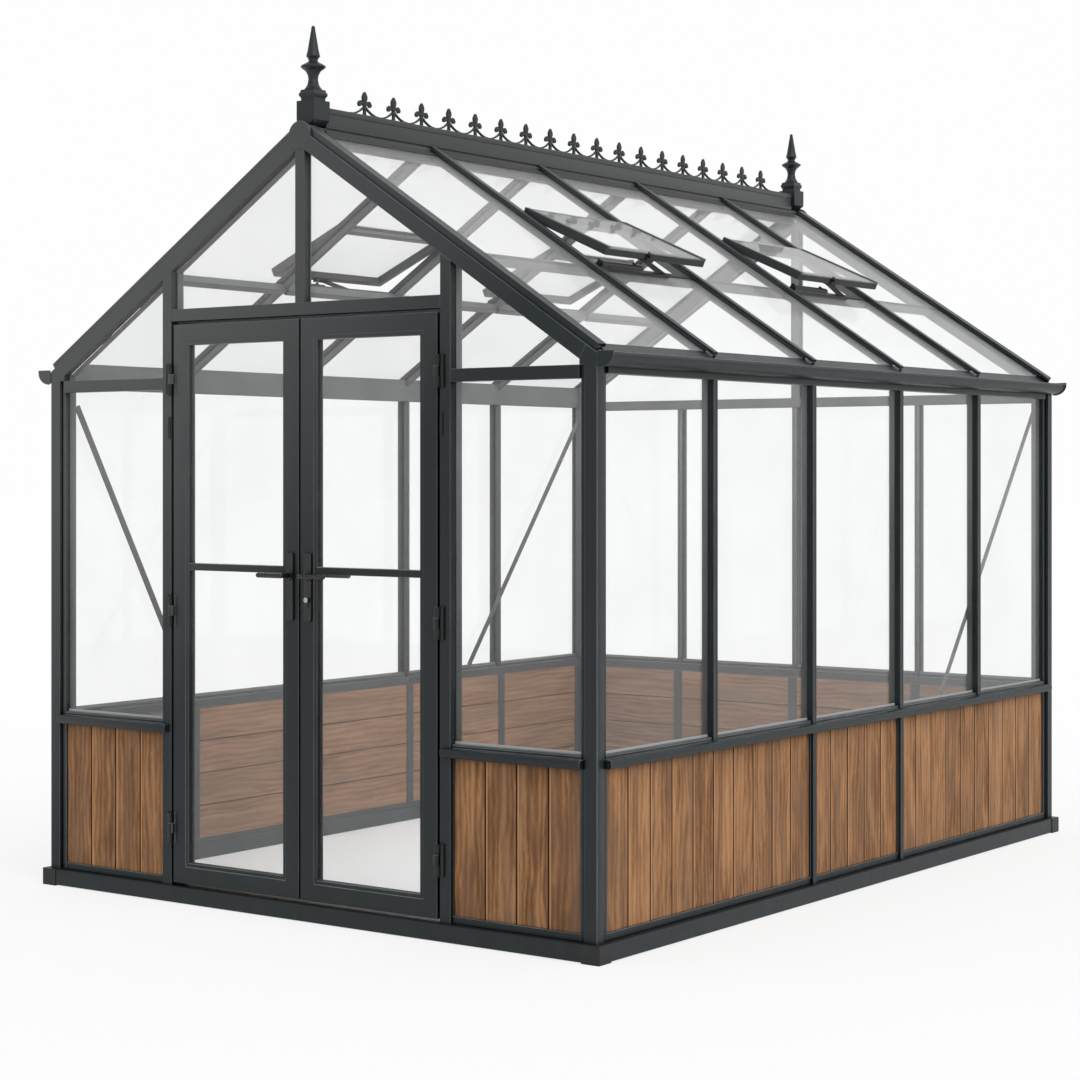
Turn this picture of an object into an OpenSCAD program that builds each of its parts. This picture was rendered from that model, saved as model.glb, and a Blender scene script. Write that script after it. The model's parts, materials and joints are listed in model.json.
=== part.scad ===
// Victorian greenhouse: anthracite aluminium frame, double doors in the front
// gable, boarded dado, two roof vents a side, ridge cresting and finials.
// X runs along the front gable, -Y is the front, +Z is up, origin on the ground
// under the middle of the overall box.  Millimetres.

/* [Building] */
// Width over the corner posts
frame_w = 2300; // [2150:10:2500]
// Bay between glazing bars on the side walls and roof
bay = 620; // [560:5:680]
// Number of side bays
bays = 5; // [5:1:5]
// Set-back of the outermost bay lines from the ends
end_in = 30; // [24:1:36]
// Top of the corner posts and eaves rails above the ground
post_top = 1737; // [1650:1:1850]
// Top of the window sills above the ground
sill_top = 588; // [480:1:700]
// Roof pitch in degrees
pitch = 33; // [30:0.5:36]

/* [Base] */
// Height of the base beams
base_h = 53; // [40:1:70]
// Gap under the base beams, between the corner castings
base_lift = 3; // [2:0.5:8]
// Projection of the base beams beyond the wall face
base_out = 18; // [12:1:30]
// Depth of the base beams
base_d = 80; // [70:1:100]
// Length of a corner casting along each wall
cast_l = 62; // [55:1:80]
// Projection of a corner casting beyond the beams
cast_proud = 2.5; // [1:0.5:4]
// Bevel on a casting's upright corner
cast_bevel = 3; // [1:0.5:6]
// Rise of a casting above the beams
cast_up = 1; // [0.5:0.5:3]
// Round on the upper outer edge of the base beams
base_round = 6; // [3:0.5:8]

/* [Frame] */
// Width of a corner post across the gable
post_w = 45; // [40:1:55]
// Face of a corner post along the side wall
post_d = 36; // [32:1:45]
// Reach of a corner post's set-back flanges across the gable
reach_x = 64; // [60:1:70]
// Reach of a corner post's set-back flanges along the side wall
reach_y = 60; // [57:1:64]
// Width of the groove beside a corner post's gable face
groove_x = 5.5; // [3:0.5:8]
// Width of the groove beside a corner post's side face
groove_y = 8.5; // [4:0.5:10]
// Depth of the corner posts' grooves
groove_d = 18; // [12:1:22]
// Set-back of the corner posts' flanges
flange_in = 10; // [8:1:11]
// Face width of the door jambs
jamb_w = 40; // [34:1:50]
// Depth of the door jambs
jamb_d = 60; // [54:1:70]
// Height of the eaves rails and door header
rail_h = 40; // [32:1:50]
// Depth of the rails and mullions
rail_d = 36; // [34:1:45]
// Face width of the king posts
king_w = 39; // [32:1:46]
// Square height of the gable rafters
rafter_h = 49; // [40:1:60]
// Depth of the eaves beams behind the wall face
eave_d = 45; // [40:1:56]
// Drop of the eaves beams below the post tops
eave_drop = 25; // [22:1:34]
// Rise of the roof glass above the post tops at the wall face
roof_rise = 38; // [34:1:46]
// Radius of the round boss over each apex
boss_r = 45; // [40:1:50]
// Thickness of the boss
boss_t = 10; // [8:0.5:10]
// Projection of the boss in front of the gable face
boss_out = 2.5; // [2:0.5:4]
// Distance of the boss's centre below the ridge of the glass
boss_drop = 27; // [24:1:32]

/* [Glazing] */
// Glass thickness
glass_t = 4; // [3:0.5:5]
// Set-back of the wall glass from the wall face
glass_in = 26; // [22:1:28]
// Face width of a glazing bar
bar_w = 22; // [18:1:28]
// Width of the glazing bar's inner leg
leg_w = 12; // [8:1:16]
// Depth of the glazing bar's inner leg behind the glass
leg_d = 22; // [18:1:26]
// Height of a roof bar above the glass
cap_h = 19; // [16:1:21]
// Height of the seals between the roof glass and the bars
seal_h = 7; // [5:1:9]
// Height of the glazing beads above the sills
bead_h = 12; // [8:1:16]
// Set-back of the outer glazing beads from the wall face
bead_in = 8; // [6:1:12]
// Play between a glass edge and the bar's leg
glass_play = 0.3; // [0.2:0.1:1]

/* [Dado] */
// Thickness of the outer boards
board_t = 14; // [12:1:18]
// Thickness of the inner boards
lining_t = 12; // [10:1:14]
// Set-back of the outer boards from the wall face
board_in = 16; // [13:1:18]
// Set-back of the panel frames from the wall face
pframe_in = 10; // [8:1:11]
// Face width of a panel frame's sides and top
pframe_w = 4; // [3:0.5:8]
// Face height of a panel frame's foot
pframe_foot = 20; // [14:1:28]
// Shadow gap between the base and a panel frame's foot
foot_gap = 3; // [2:0.5:5]
// Overall depth of the panel frames
pframe_d = 48; // [45:1:48]
// Nominal width of one board
board_w = 118; // [90:1:140]
// Width of the V groove between boards
groove_w = 5; // [3:0.5:8]
// Rows of inner boards
lining_rows = 4; // [3:1:6]
// Height of the sill nose
sill_h = 28; // [22:1:36]
// Projection of the sill beyond the wall face
sill_out = 20; // [12:1:26]
// Round on the corners of the sill's nose
sill_round = 9; // [5:0.5:11]
// Depth of the sill behind the wall face
sill_in = 58; // [56:1:58]
// Lap of the sill's nose over a door jamb
sill_lap = 26; // [10:1:28]
// Gap between lengths of sill
sill_gap = 2; // [1:0.5:4]

/* [Doors] */
// Clear width between the door jambs
door_open = 1138; // [1040:2:1240]
// Rise of the door header's underside above the post tops
head_rise = 186; // [160:1:210]
// Clearance beside a leaf at its jamb
leaf_side = 11; // [8:0.5:14]
// Clearance over a leaf
leaf_head = 12; // [8:0.5:16]
// Clearance under a leaf
leaf_foot = 10; // [7:0.5:14]
// Gap between the two leaves
leaf_meet = 8.8; // [8.6:0.2:12]
// Thickness of a leaf
leaf_t = 34; // [30:1:36]
// Width of the stiles and rails of a leaf
stile_w = 68; // [58:1:78]
// Height of a leaf's middle bar
mid_h = 23; // [18:1:32]
// Height of the middle bar's centre
mid_z = 1112; // [1000:1:1200]
// Clearance from a leaf to the stop behind it
stop_play = 6; // [5:0.5:8]
// Overlap of the stop behind a leaf
stop_lap = 24; // [18:1:30]
// Face width of the beads round the panes of a leaf
leaf_bead = 13; // [9:1:18]
// Set-back of those beads from the leaf's faces
leaf_bead_in = 1.5; // [0.5:0.5:3]
// Set-back of the panes from the leaf's outer face
lite_in = 13; // [10:1:16]

/* [Hinges] */
// Radius of a hinge barrel
barrel_r = 8; // [6:0.5:8.5]
// Length of a hinge
hinge_l = 100; // [80:1:120]
// Distance of the hinge axis in front of the leaf
hinge_out = 9; // [8.5:0.5:11]
// Distance of the end hinges' centres from a leaf's foot and head
hinge_end = 180; // [150:1:240]
// Height of the middle hinge's centre
hinge_mid = 965; // [800:1:1050]
// Thickness of the hinge plates
hinge_t = 3; // [2:0.5:4]
// Reach of the hinge plates beyond the hinge axis
hinge_reach = 24; // [18:1:30]
// Length of the catch plates below the top hinges
catch_l = 72; // [50:1:90]
// Radius of a hinge pin
pin_r = 4; // [3:0.25:5]
// Running clearance between knuckles, and at the pin
knuckle_play = 0.5; // [0.3:0.1:1]

/* [Handles] */
// Length of a back plate
plate_l = 217; // [180:1:250]
// Width of a back plate
plate_w = 31; // [26:1:40]
// Thickness of a back plate
plate_t = 7; // [5:0.5:9]
// Height of the lever spindle
lever_z = 1095; // [1000:1:1150]
// Length of a lever from its spindle
lever_l = 106; // [90:1:125]
// Distance of the lever's grip from the plate
lever_out = 38; // [32:1:45]
// Radius of a lever's grip
grip_r = 8; // [7:0.5:10]
// Radius of the spindle and its neck
spindle_r = 7; // [5:0.5:8]
// Radius of the rose round the neck
rose_r = 17; // [12:0.5:18]
// Distance of the lock cylinder below the spindle
cyl_drop = 76; // [66:1:84]

/* [Gutters] */
// Width of the gutter at its rim
gutter_w = 60; // [50:1:70]
// Height of the gutter
gutter_h = 50; // [44:1:56]
// Height of the gutter's rim above the post tops
gutter_rise = 39; // [34:1:44]
// Projection and thickness of the gutter's lip
gutter_lip = 4.5; // [3:0.5:7]
// Set-back of the gutter behind its end caps
gutter_in = 4.5; // [3:0.5:6]
// Wall thickness of the gutter
gutter_t = 2.5; // [2:0.25:4]

/* [Roof] */
// Set-back of the roof bars' lower ends from the wall face
bar_back = 10; // [6:1:16]
// Width of the outermost roof bars
edge_w = 40; // [34:1:44]
// Seat of the roof glass on the eaves beams
glass_seat = 4; // [3:0.5:8]
// Set-back of the outermost roof bars from the gable faces
edge_set = 8; // [8:0.5:12]
// Half width of the ridge beam
ridge_half = 25; // [20:1:30]
// Depth of the ridge beam below the glass
ridge_d = 52; // [46:1:70]
// Half width of the ridge cover's neck
neck_half = 18; // [14:1:22]
// Height of the ridge cover above its neck
cover_h = 66; // [54:1:76]
// Height of the ridge cover's upper band
band_h = 17; // [12:1:24]
// Projection of the ridge cover's upper band
band_out = 2.5; // [1.5:0.5:4]
// Reach of the ridge flashing down the slope
flash_s = 57; // [48:1:70]
// Thickness of the ridge flashing
flash_t = 2.5; // [1.5:0.5:4]
// Gap between the ridge flashing and the cover above it
flash_gap = 6; // [4:1:8]
// Slope distance from the ridge to the vent hinge
vent_from = 462; // [380:1:520]
// Slope length of a vent
vent_l = 362; // [320:1:380]
// Overlap of a vent beyond its sill
vent_lap = 16; // [10:1:24]
// Width of the vent's frame members
vent_fw = 26; // [20:1:32]
// Thickness of a vent
vent_t = 24; // [20:1:28]
// Opening angle of the vents
vent_open = 9; // [6:0.5:14]
// Clearance between a vent and the bars beside it
vent_play = 3; // [2:0.5:5]
// Thickness of the strips over a vent's glass
strip_t = 3; // [2:0.5:4]
// Length of a vent opener's base
opener_l = 420; // [340:5:440]
// Radius of a vent opener's cylinder
opener_r = 11; // [8:0.5:13]
// Width of the roof purlins
purlin_w = 26; // [20:1:32]
// Depth of the roof purlins below the glass
purlin_d = 30; // [22:1:36]

/* [Cresting] */
// Size of the square blocks under the finials
block_w = 75; // [66:1:84]
// Rise of the square blocks above the ridge cover
block_up = 17; // [10:1:24]
// Set-back of the block's centre from the gable face
block_in = 65; // [62:1:80]
// Height of a finial above its block
finial_h = 242.5; // [200:0.5:300]
// Number of cresting ornaments
fleurs = 18; // [18:1:18]
// Height of a cresting ornament
fleur_h = 80; // [70:1:92]
// Thickness of the cresting
crest_t = 8; // [5:0.5:10]
// Thickness of the scallops between the ornaments
scallop_t = 5; // [3:0.5:8]
// Share of a pitch left free at each end of the cresting
crest_end = 1.7; // [1.5:0.1:2]

/* [Bracing] */
// Width of a wind brace
brace_w = 25; // [20:1:30]
// Thickness of a wind brace
brace_t = 3; // [2:0.5:5]
// Run of the front wind brace along the wall
brace_front = 560; // [400:10:600]
// Run of the back wind braces along the walls
brace_back = 800; // [600:10:900]

/* [Hidden] */

frame_l = bays * bay + 2 * end_in;
hw = frame_w / 2;
front_reach = plate_t + lever_out + grip_r;
back_reach = base_out + cast_proud;
yf = -frame_l / 2 + (front_reach - back_reach) / 2;
yb = yf + frame_l;
base_top = base_lift + base_h;
sill_z = sill_top - sill_h;
half_open = door_open / 2;
jamb_out = half_open + jamb_w;
tp = tan(pitch);
cp = cos(pitch);
sp = sin(pitch);
roof_z = post_top + roof_rise;
apex_z = roof_z + hw * tp;
raf_top = roof_z - glass_t / cp;
raf_low = raf_top - rafter_h / cp;
head_z = post_top + head_rise;
head_top = head_z + rail_h;
function bar_y(k) = yf + end_in + k * bay;
function low_z(x) = raf_low + (hw - x) * tp;
function top_z(x) = raf_top + (hw - x) * tp;
leaf_z0 = base_top + leaf_foot;
leaf_z1 = head_z - leaf_head;
leaf_x0 = leaf_meet / 2;
leaf_x1 = half_open - leaf_side;
leaf_y = yf;
axis_x = half_open - leaf_side / 2;
axis_y = leaf_y - hinge_out;
plate_x = leaf_x0 + stile_w / 2;
glass_y = yf + glass_in;
glass_x = hw - glass_in;
sill_zt = sill_top;
vent_to = vent_from + vent_l - vent_lap;
vent_bays = [1, 3];
s_end = (hw - bar_back) / cp;
s_glass = (hw - eave_d + glass_seat) / cp;
s_neck = (neck_half + glass_play + glass_t * sp) / cp;
hook = 3;
cover_z = apex_z + glass_t;
crest_z = cover_z + cover_h;
block_y0 = yf + block_in;
block_y1 = yb - block_in;
block_top = crest_z + block_up;
post_x = hw - reach_x;
wall_z1 = post_top - eave_drop;
back_div = frame_w / 4;
mitre = rafter_h / cp / (tan(45 + pitch / 2) + tp);

graphite = [0.23, 0.25, 0.26];
dark = [0.12, 0.13, 0.14];
teak = [0.50, 0.34, 0.22];
pane = [0.75, 0.82, 0.84, 0.35];

// ---------- helpers ----------

// Box between two corners
module box(a, b) { translate(a) cube(b - a); }

// Both halves of the building, across the ridge
module both_x() { children(); mirror([1, 0, 0]) children(); }

// Outline in X and Z, given its depth along Y
module gable(y, d) { translate([0, y + d, 0]) rotate([90, 0, 0]) linear_extrude(d) children(); }

// Children drawn down the right slope: X down the slope from the ridge, Y along
// it, Z square off the glass
module on_roof() { translate([0, 0, apex_z]) rotate([0, pitch, 0]) children(); }

// Places a wall drawn for the right side, outward along +X and centred on Y,
// at the back gable or the front gable
module at_back() { translate([0, yb - hw, 0]) rotate([0, 0, 90]) children(); }
module at_front() { translate([0, yf + hw, 0]) rotate([0, 0, -90]) children(); }

// Section of a glazing bar, its glass line at the origin and outward along +X
module bar_section(out) {
    polygon([[0, -bar_w / 2], [out - 2, -bar_w / 2], [out, -bar_w / 2 + 2],
             [out, bar_w / 2 - 2], [out - 2, bar_w / 2], [0, bar_w / 2],
             [0, leg_w / 2], [-glass_t - leg_d, leg_w / 2],
             [-glass_t - leg_d, -leg_w / 2], [0, -leg_w / 2]]);
}

// ---------- base ----------

module beam_section() {
    r = base_round;
    polygon(concat([[-base_d + base_out, base_lift], [base_out, base_lift]],
        [for (a = [0:22.5:90]) [base_out - r + r * cos(a), base_top - r + r * sin(a)]],
        [[-base_d + base_out, base_top]]));
}

// One base beam along Y between two castings, wall face on x = 0
module beam(len) {
    translate([0, len / 2, 0]) rotate([90, 0, 0]) linear_extrude(len) beam_section();
}

module base_beams() {
    side = frame_l + 2 * base_out - 2 * cast_l;
    gab = frame_w + 2 * base_out - 2 * cast_l;
    color(graphite) {
        both_x() translate([hw, (yf + yb) / 2, 0]) beam(side);
        translate([0, yb, 0]) rotate([0, 0, 90]) beam(gab);
        translate([0, yf, 0]) rotate([0, 0, -90]) beam(gab);
    }
}

module base_corners() {
    o = base_out + cast_proud;
    l = cast_l + cast_proud;
    module casting() {
        translate([hw + o, yf - o, 0]) linear_extrude(base_top + cast_up)
            polygon([[-l, 0], [-cast_bevel, 0], [0, cast_bevel], [0, l], [-l, l]]);
    }
    color(dark) both_x() {
        casting();
        translate([0, yf + yb, 0]) mirror([0, 1, 0]) casting();
    }
}

// ---------- main frame ----------

module corner_posts() {
    c = 2; f = flange_in; g = groove_d;
    z0 = base_top + cast_up;
    module post() {
        translate([hw, yf, z0]) linear_extrude(post_top - z0)
            polygon([[-reach_x, f], [-post_w - groove_x, f], [-post_w - groove_x, g], [-post_w, g],
                     [-post_w, 0], [-c, 0], [0, c], [0, post_d], [-g, post_d],
                     [-g, post_d + groove_y], [-f, post_d + groove_y], [-f, reach_y],
                     [-reach_x, reach_y]]);
        // head, mitred to the rafter
        gable(yf, reach_y) polygon([[post_x, post_top], [hw, post_top], [hw, raf_top],
            [post_x + mitre, top_z(post_x + mitre)], [post_x, low_z(post_x)]]);
    }
    color(graphite) both_x() {
        post();
        translate([0, yf + yb, 0]) mirror([0, 1, 0]) post();
    }
}

module door_jambs() {
    color(graphite) both_x() {
        gable(yf, jamb_d)
            polygon([[half_open, base_top], [jamb_out, base_top],
                     [jamb_out, low_z(jamb_out)], [half_open, low_z(half_open)]]);
        // stop behind the leaf
        box([half_open - stop_lap, yf + leaf_t + stop_play, base_top], [half_open, yf + jamb_d, head_z]);
    }
}

module door_header() {
    color(graphite) {
        box([-half_open, yf, head_z], [half_open, yf + jamb_d, head_top]);
        box([-half_open + stop_lap, yf + leaf_t + stop_play, head_z - stop_lap],
            [half_open - stop_lap, yf + jamb_d, head_z]);
    }
}

// Upright under the apex of a gable
module king(y, z0) {
    gable(y, rail_d) polygon([[-king_w / 2, z0], [king_w / 2, z0],
        [king_w / 2, low_z(king_w / 2)], [0, low_z(0)], [-king_w / 2, low_z(king_w / 2)]]);
}

module front_rails() {
    color(graphite) {
        both_x() box([jamb_out, yf, post_top - rail_h], [post_x, yf + rail_d, post_top]);
        king(yf, head_top);
    }
}

module back_rails() {
    color(graphite) {
        box([-post_x, yb - rail_d, post_top - rail_h], [post_x, yb, post_top]);
        king(yb - rail_d, post_top - rail_h / 2);
    }
}

// Pair of rafters meeting at the apex under a round boss
module rafters() {
    x = post_x + mitre; zc = apex_z - boss_drop; r = boss_r;
    color(graphite) {
        gable(yf, reach_y) polygon([[0, top_z(0)], [x, top_z(x)], [post_x, low_z(post_x)],
            [0, low_z(0)], [-post_x, low_z(post_x)], [-x, top_z(x)]]);
        gable(yf - boss_out, boss_out) translate([0, zc]) circle(r = r, $fn = 64);
        gable(yf - boss_out, boss_t) intersection() {
            translate([0, zc]) circle(r = r, $fn = 64);
            polygon([[0, low_z(0)], [2 * r, low_z(2 * r)], [2 * r, zc + 2 * r],
                     [-2 * r, zc + 2 * r], [-2 * r, low_z(2 * r)]]);
        }
    }
}
module front_rafters() { rafters(); }
module back_rafters() { translate([0, yf + yb, 0]) mirror([0, 1, 0]) rafters(); }

// ---------- dado: sills, panels, boards ----------

// Section of the sill, from a given depth behind the wall face on x = 0
module sill_section(d) {
    r = sill_round; x = sill_out - r;
    polygon(concat([[-d, sill_z]],
        [for (t = [-90:22.5:0]) [x + r * cos(t), sill_z + r + r * sin(t)]],
        [for (t = [0:22.5:90]) [x + r * cos(t), sill_zt - r + r * sin(t)]],
        [[-d, sill_zt]]));
}

// Section extruded along Y from a to b
module along(a, b) { translate([0, b, 0]) rotate([90, 0, 0]) linear_extrude(b - a) children(); }

// Length of sill from a to b, its nose running on by ea and eb over faces set
// back by da and db
module sill(a, b, ea = 0, da = 0, eb = 0, db = 0) {
    along(a, b) sill_section(sill_in);
    if (ea > 0) along(a - ea, a + 1) sill_section(da);
    if (eb > 0) along(b - 1, b + eb) sill_section(db);
}

// Glazing beads on the sill, before and behind a pane from a to b
module beads(a, b) {
    c = bead_h / 3; x = -glass_in - glass_t;
    along(a, b) {
        polygon([[-glass_in, sill_zt], [-bead_in, sill_zt], [-bead_in, sill_zt + bead_h - c],
                 [-bead_in - c, sill_zt + bead_h], [-glass_in, sill_zt + bead_h]]);
        polygon([[x - bead_h, sill_zt], [x, sill_zt], [x, sill_zt + bead_h], [x - bead_h, sill_zt + bead_h]]);
    }
}

// Panel edges along each wall: [from, to]
side_panels = [
    [yf + reach_y, bar_y(2) - bar_w / 2],
    [bar_y(2) + bar_w / 2, bar_y(3) - bar_w / 2],
    [bar_y(3) + bar_w / 2, yb - reach_y]];
back_panels = [[-post_x, -bar_w / 2], [bar_w / 2, post_x]];
front_panels = [[-post_x, -jamb_out], [jamb_out, post_x]];

// Aluminium ring round one panel, wall face on x = 0
module panel_ring(p) {
    z0 = base_top + foot_gap; z1 = sill_z; x = -pframe_in - pframe_d;
    difference() {
        box([x, p[0], z0], [-pframe_in, p[1], z1]);
        box([x - 1, p[0] + pframe_w, z0 + pframe_foot], [-pframe_in + 1, p[1] - pframe_w, z1 - pframe_w]);
    }
    box([x, p[0], base_top], [-pframe_in - 2 * foot_gap, p[1], z0 + 1]);
}

// Upright tongued boards with V grooves
module boards(p) {
    a = p[0] + pframe_w; b = p[1] - pframe_w;
    n = max(1, round((b - a) / board_w));
    w = (b - a) / n; g = groove_w / 2;
    z0 = base_top + foot_gap + pframe_foot;
    translate([-board_in, 0, z0])
        linear_extrude(sill_z - pframe_w - z0)
            polygon(concat([[-board_t, a], [0, a]],
                [for (i = [1:1:n - 1]) for (q = [[0, -g], [-g, 0], [0, g]]) [q[0], a + i * w + q[1]]],
                [[0, b], [-board_t, b]]));
}

// Level boards lining the inside
module lining(p) {
    a = p[0] + pframe_w; b = p[1] - pframe_w;
    z0 = base_top + foot_gap + pframe_foot; z1 = sill_z - pframe_w;
    h = (z1 - z0) / lining_rows; g = groove_w / 2;
    translate([-pframe_in - pframe_d, b, 0]) rotate([90, 0, 0]) linear_extrude(b - a)
        polygon(concat([[lining_t, z1], [lining_t, z0], [0, z0]],
            [for (i = [1:1:lining_rows - 1]) for (q = [[0, -g], [g, 0], [0, g]]) [q[0], z0 + i * h + q[1]]],
            [[0, z1]]));
}

// The wall items on each side of the building
module right_wall() { translate([hw, 0, 0]) children(); }
module left_wall() { mirror([1, 0, 0]) right_wall() children(); }
module back_wall() { at_back() translate([hw, 0, 0]) children(); }
module front_wall() { at_front() translate([hw, 0, 0]) children(); }

lap_x = reach_x - post_w - groove_x;
lap_y = reach_y - post_d - groove_y;
module side_sills() {
    g = sill_gap / 2; e = bar_w / 2;
    sill(yf + reach_y, bar_y(2) - g, lap_y, flange_in);
    sill(bar_y(2) + g, bar_y(3) - g);
    sill(bar_y(3) + g, yb - reach_y, 0, 0, lap_y, flange_in);
    for (k = [0:1:bays - 1])
        beads(k == 0 ? yf + reach_y : bar_y(k) + e, k == bays - 1 ? yb - reach_y : bar_y(k + 1) - e);
}
module right_sills() { color(graphite) right_wall() side_sills(); }
module left_sills() { color(graphite) left_wall() side_sills(); }
module front_sills() {
    color(graphite) front_wall() {
        sill(-post_x, -jamb_out, lap_x, flange_in, sill_lap, 0);
        sill(jamb_out, post_x, sill_lap, 0, lap_x, flange_in);
        for (p = front_panels) beads(p[0], p[1]);
    }
}
module back_sills() {
    g = sill_gap / 2; e = bar_w / 2;
    color(graphite) back_wall() {
        sill(-post_x, -g, lap_x, flange_in);
        sill(g, post_x, 0, 0, lap_x, flange_in);
        for (k = [-2:1:1])
            beads(k == -2 ? -post_x : k * back_div + e, k == 1 ? post_x : (k + 1) * back_div - e);
    }
}

// Short posts between the dado panels
module dado_posts() {
    module stub() { box([-pframe_in - pframe_d, -bar_w / 2, base_top], [0, bar_w / 2, sill_z]); }
    color(graphite) {
        both_x() for (k = [2, 3]) translate([hw, bar_y(k), 0]) stub();
        back_wall() stub();
    }
}

module right_panel_frames() { color(graphite) right_wall() for (p = side_panels) panel_ring(p); }
module left_panel_frames() { color(graphite) left_wall() for (p = side_panels) panel_ring(p); }
module front_panel_frames() { color(graphite) front_wall() for (p = front_panels) panel_ring(p); }
module back_panel_frames() { color(graphite) back_wall() for (p = back_panels) panel_ring(p); }
module right_boards() { color(teak) right_wall() for (p = side_panels) boards(p); }
module left_boards() { color(teak) left_wall() for (p = side_panels) boards(p); }
module front_boards() { color(teak) front_wall() for (p = front_panels) boards(p); }
module back_boards() { color(teak) back_wall() for (p = back_panels) boards(p); }
module right_lining() { color(teak) right_wall() for (p = side_panels) lining(p); }
module left_lining() { color(teak) left_wall() for (p = side_panels) lining(p); }
module front_lining() { color(teak) front_wall() for (p = front_panels) lining(p); }
module back_lining() { color(teak) back_wall() for (p = back_panels) lining(p); }

// ---------- wall glazing ----------

module side_bars() {
    for (k = [1:1:bays - 1]) translate([glass_x, bar_y(k), sill_zt])
        linear_extrude(wall_z1 - sill_zt) bar_section(glass_in);
}
module right_bars() { color(graphite) side_bars(); }
module left_bars() { color(graphite) mirror([1, 0, 0]) side_bars(); }
module back_bars() {
    color(graphite) at_back() for (k = [-1, 0, 1]) translate([glass_x, k * back_div, sill_zt])
        linear_extrude(post_top - rail_h - sill_zt) bar_section(glass_in);
}

// Pane along Y between a and b, wall face on x = 0
module wall_pane(a, b, z1) { box([-glass_in - glass_t, a, sill_zt], [-glass_in, b, z1]); }

module side_panes() {
    e = leg_w / 2 + glass_play;
    for (k = [0:1:bays - 1])
        wall_pane(k == 0 ? yf + reach_y : bar_y(k) + e,
                  k == bays - 1 ? yb - reach_y : bar_y(k + 1) - e, wall_z1);
}
module right_glass() { color(pane) right_wall() side_panes(); }
module left_glass() { color(pane) left_wall() side_panes(); }

// Gable pane between two uprights, from z0 up to the rafter
module gable_pane(x0, x1, z0, y) {
    gable(y, glass_t) polygon([[x0, z0], [x1, z0], [x1, low_z(x1)], [x0, low_z(x0)]]);
}

module front_glass() {
    color(pane) {
        front_wall() for (p = front_panels) wall_pane(p[0], p[1], post_top - rail_h);
        both_x() {
            gable_pane(jamb_out, post_x, post_top, glass_y);
            gable_pane(king_w / 2, half_open, head_top, glass_y);
        }
    }
}
module back_glass() {
    e = leg_w / 2 + glass_play;
    color(pane) {
        back_wall() for (k = [-2:1:1])
            wall_pane(k == -2 ? -post_x : k * back_div + e,
                      k == 1 ? post_x : (k + 1) * back_div - e, post_top - rail_h);
        both_x() gable_pane(king_w / 2, post_x, post_top, yb - glass_in - glass_t);
    }
}

// ---------- eaves and gutters ----------

// Beam under the glass's lower edge, and a strip before that edge running on
// over the corner posts
module eave_beams() {
    s1 = s_glass + glass_play; x1 = s1 * cp; z1 = apex_z - s1 * sp; g = glass_t / cp;
    strip = [[x1 - glass_t * sp, z1 - glass_t * cp], [hw, raf_top], [hw, raf_top + g], [x1, z1]];
    y1 = edge_set + edge_w + glass_play;
    color(graphite) both_x() {
        gable(yf + reach_y, frame_l - 2 * reach_y) polygon([[hw - eave_d, wall_z1], [hw, wall_z1],
            strip[2], strip[3], strip[0], [hw - eave_d, top_z(hw - eave_d)]]);
        gable(yf + y1, frame_l - 2 * y1) polygon(strip);
    }
}

rim_z = post_top + gutter_rise;
gut_z = rim_z - gutter_h;
// Round front of the gutter, r wide and d deep under the height z
function gutter_arc(r, d, z) = [for (a = [0:15:90]) [2 * gutter_lip + r * sin(a), z - d * cos(a)]];

module gutter() {
    t = gutter_t;
    l = gutter_lip;
    c = gutter_in;
    y0 = yf - 3;
    len = frame_l + 6;
    w = gutter_w - c / 2;
    z = rim_z - c;
    r = w - 3 * l;
    d = gutter_h - 2 * c - 2 * l;
    x = w - l - t;
    translate([hw, 0, 0]) {
        gable(y0 + t, len - 2 * t) difference() {
            polygon(concat([[0, gut_z + c + l], [l, gut_z + c]], gutter_arc(r, d, z - 2 * l),
                [[w - l, z - l], [w, z - l], [w, z], [x, z], [0, rim_z - gutter_h / 2]]));
            polygon(concat([[t, gut_z + c + l + t], [l + t, gut_z + c + t]],
                gutter_arc(r - t, d - t, z - 2 * l), [[x, rim_z + 1], [t, rim_z + 1]]));
        }
        for (y = [y0, y0 + len - t]) gable(y, t) polygon(concat([[0, gut_z + l], [l, gut_z]],
            gutter_arc(gutter_w - 2 * l, gutter_h - 2 * l, rim_z - 2 * l), [[gutter_w, rim_z], [0, rim_z]]));
    }
}
module right_gutter() { color(graphite) gutter(); }
module left_gutter() { color(graphite) mirror([1, 0, 0]) gutter(); }

// ---------- roof ----------

module ridge_beam() {
    z1 = apex_z - glass_t / cp;
    color(graphite) gable(yf + reach_y, frame_l - 2 * reach_y) polygon([
        [-ridge_half, z1 - ridge_half * tp], [0, z1], [ridge_half, z1 - ridge_half * tp],
        [ridge_half, apex_z - ridge_d], [-ridge_half, apex_z - ridge_d]]);
}

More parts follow.
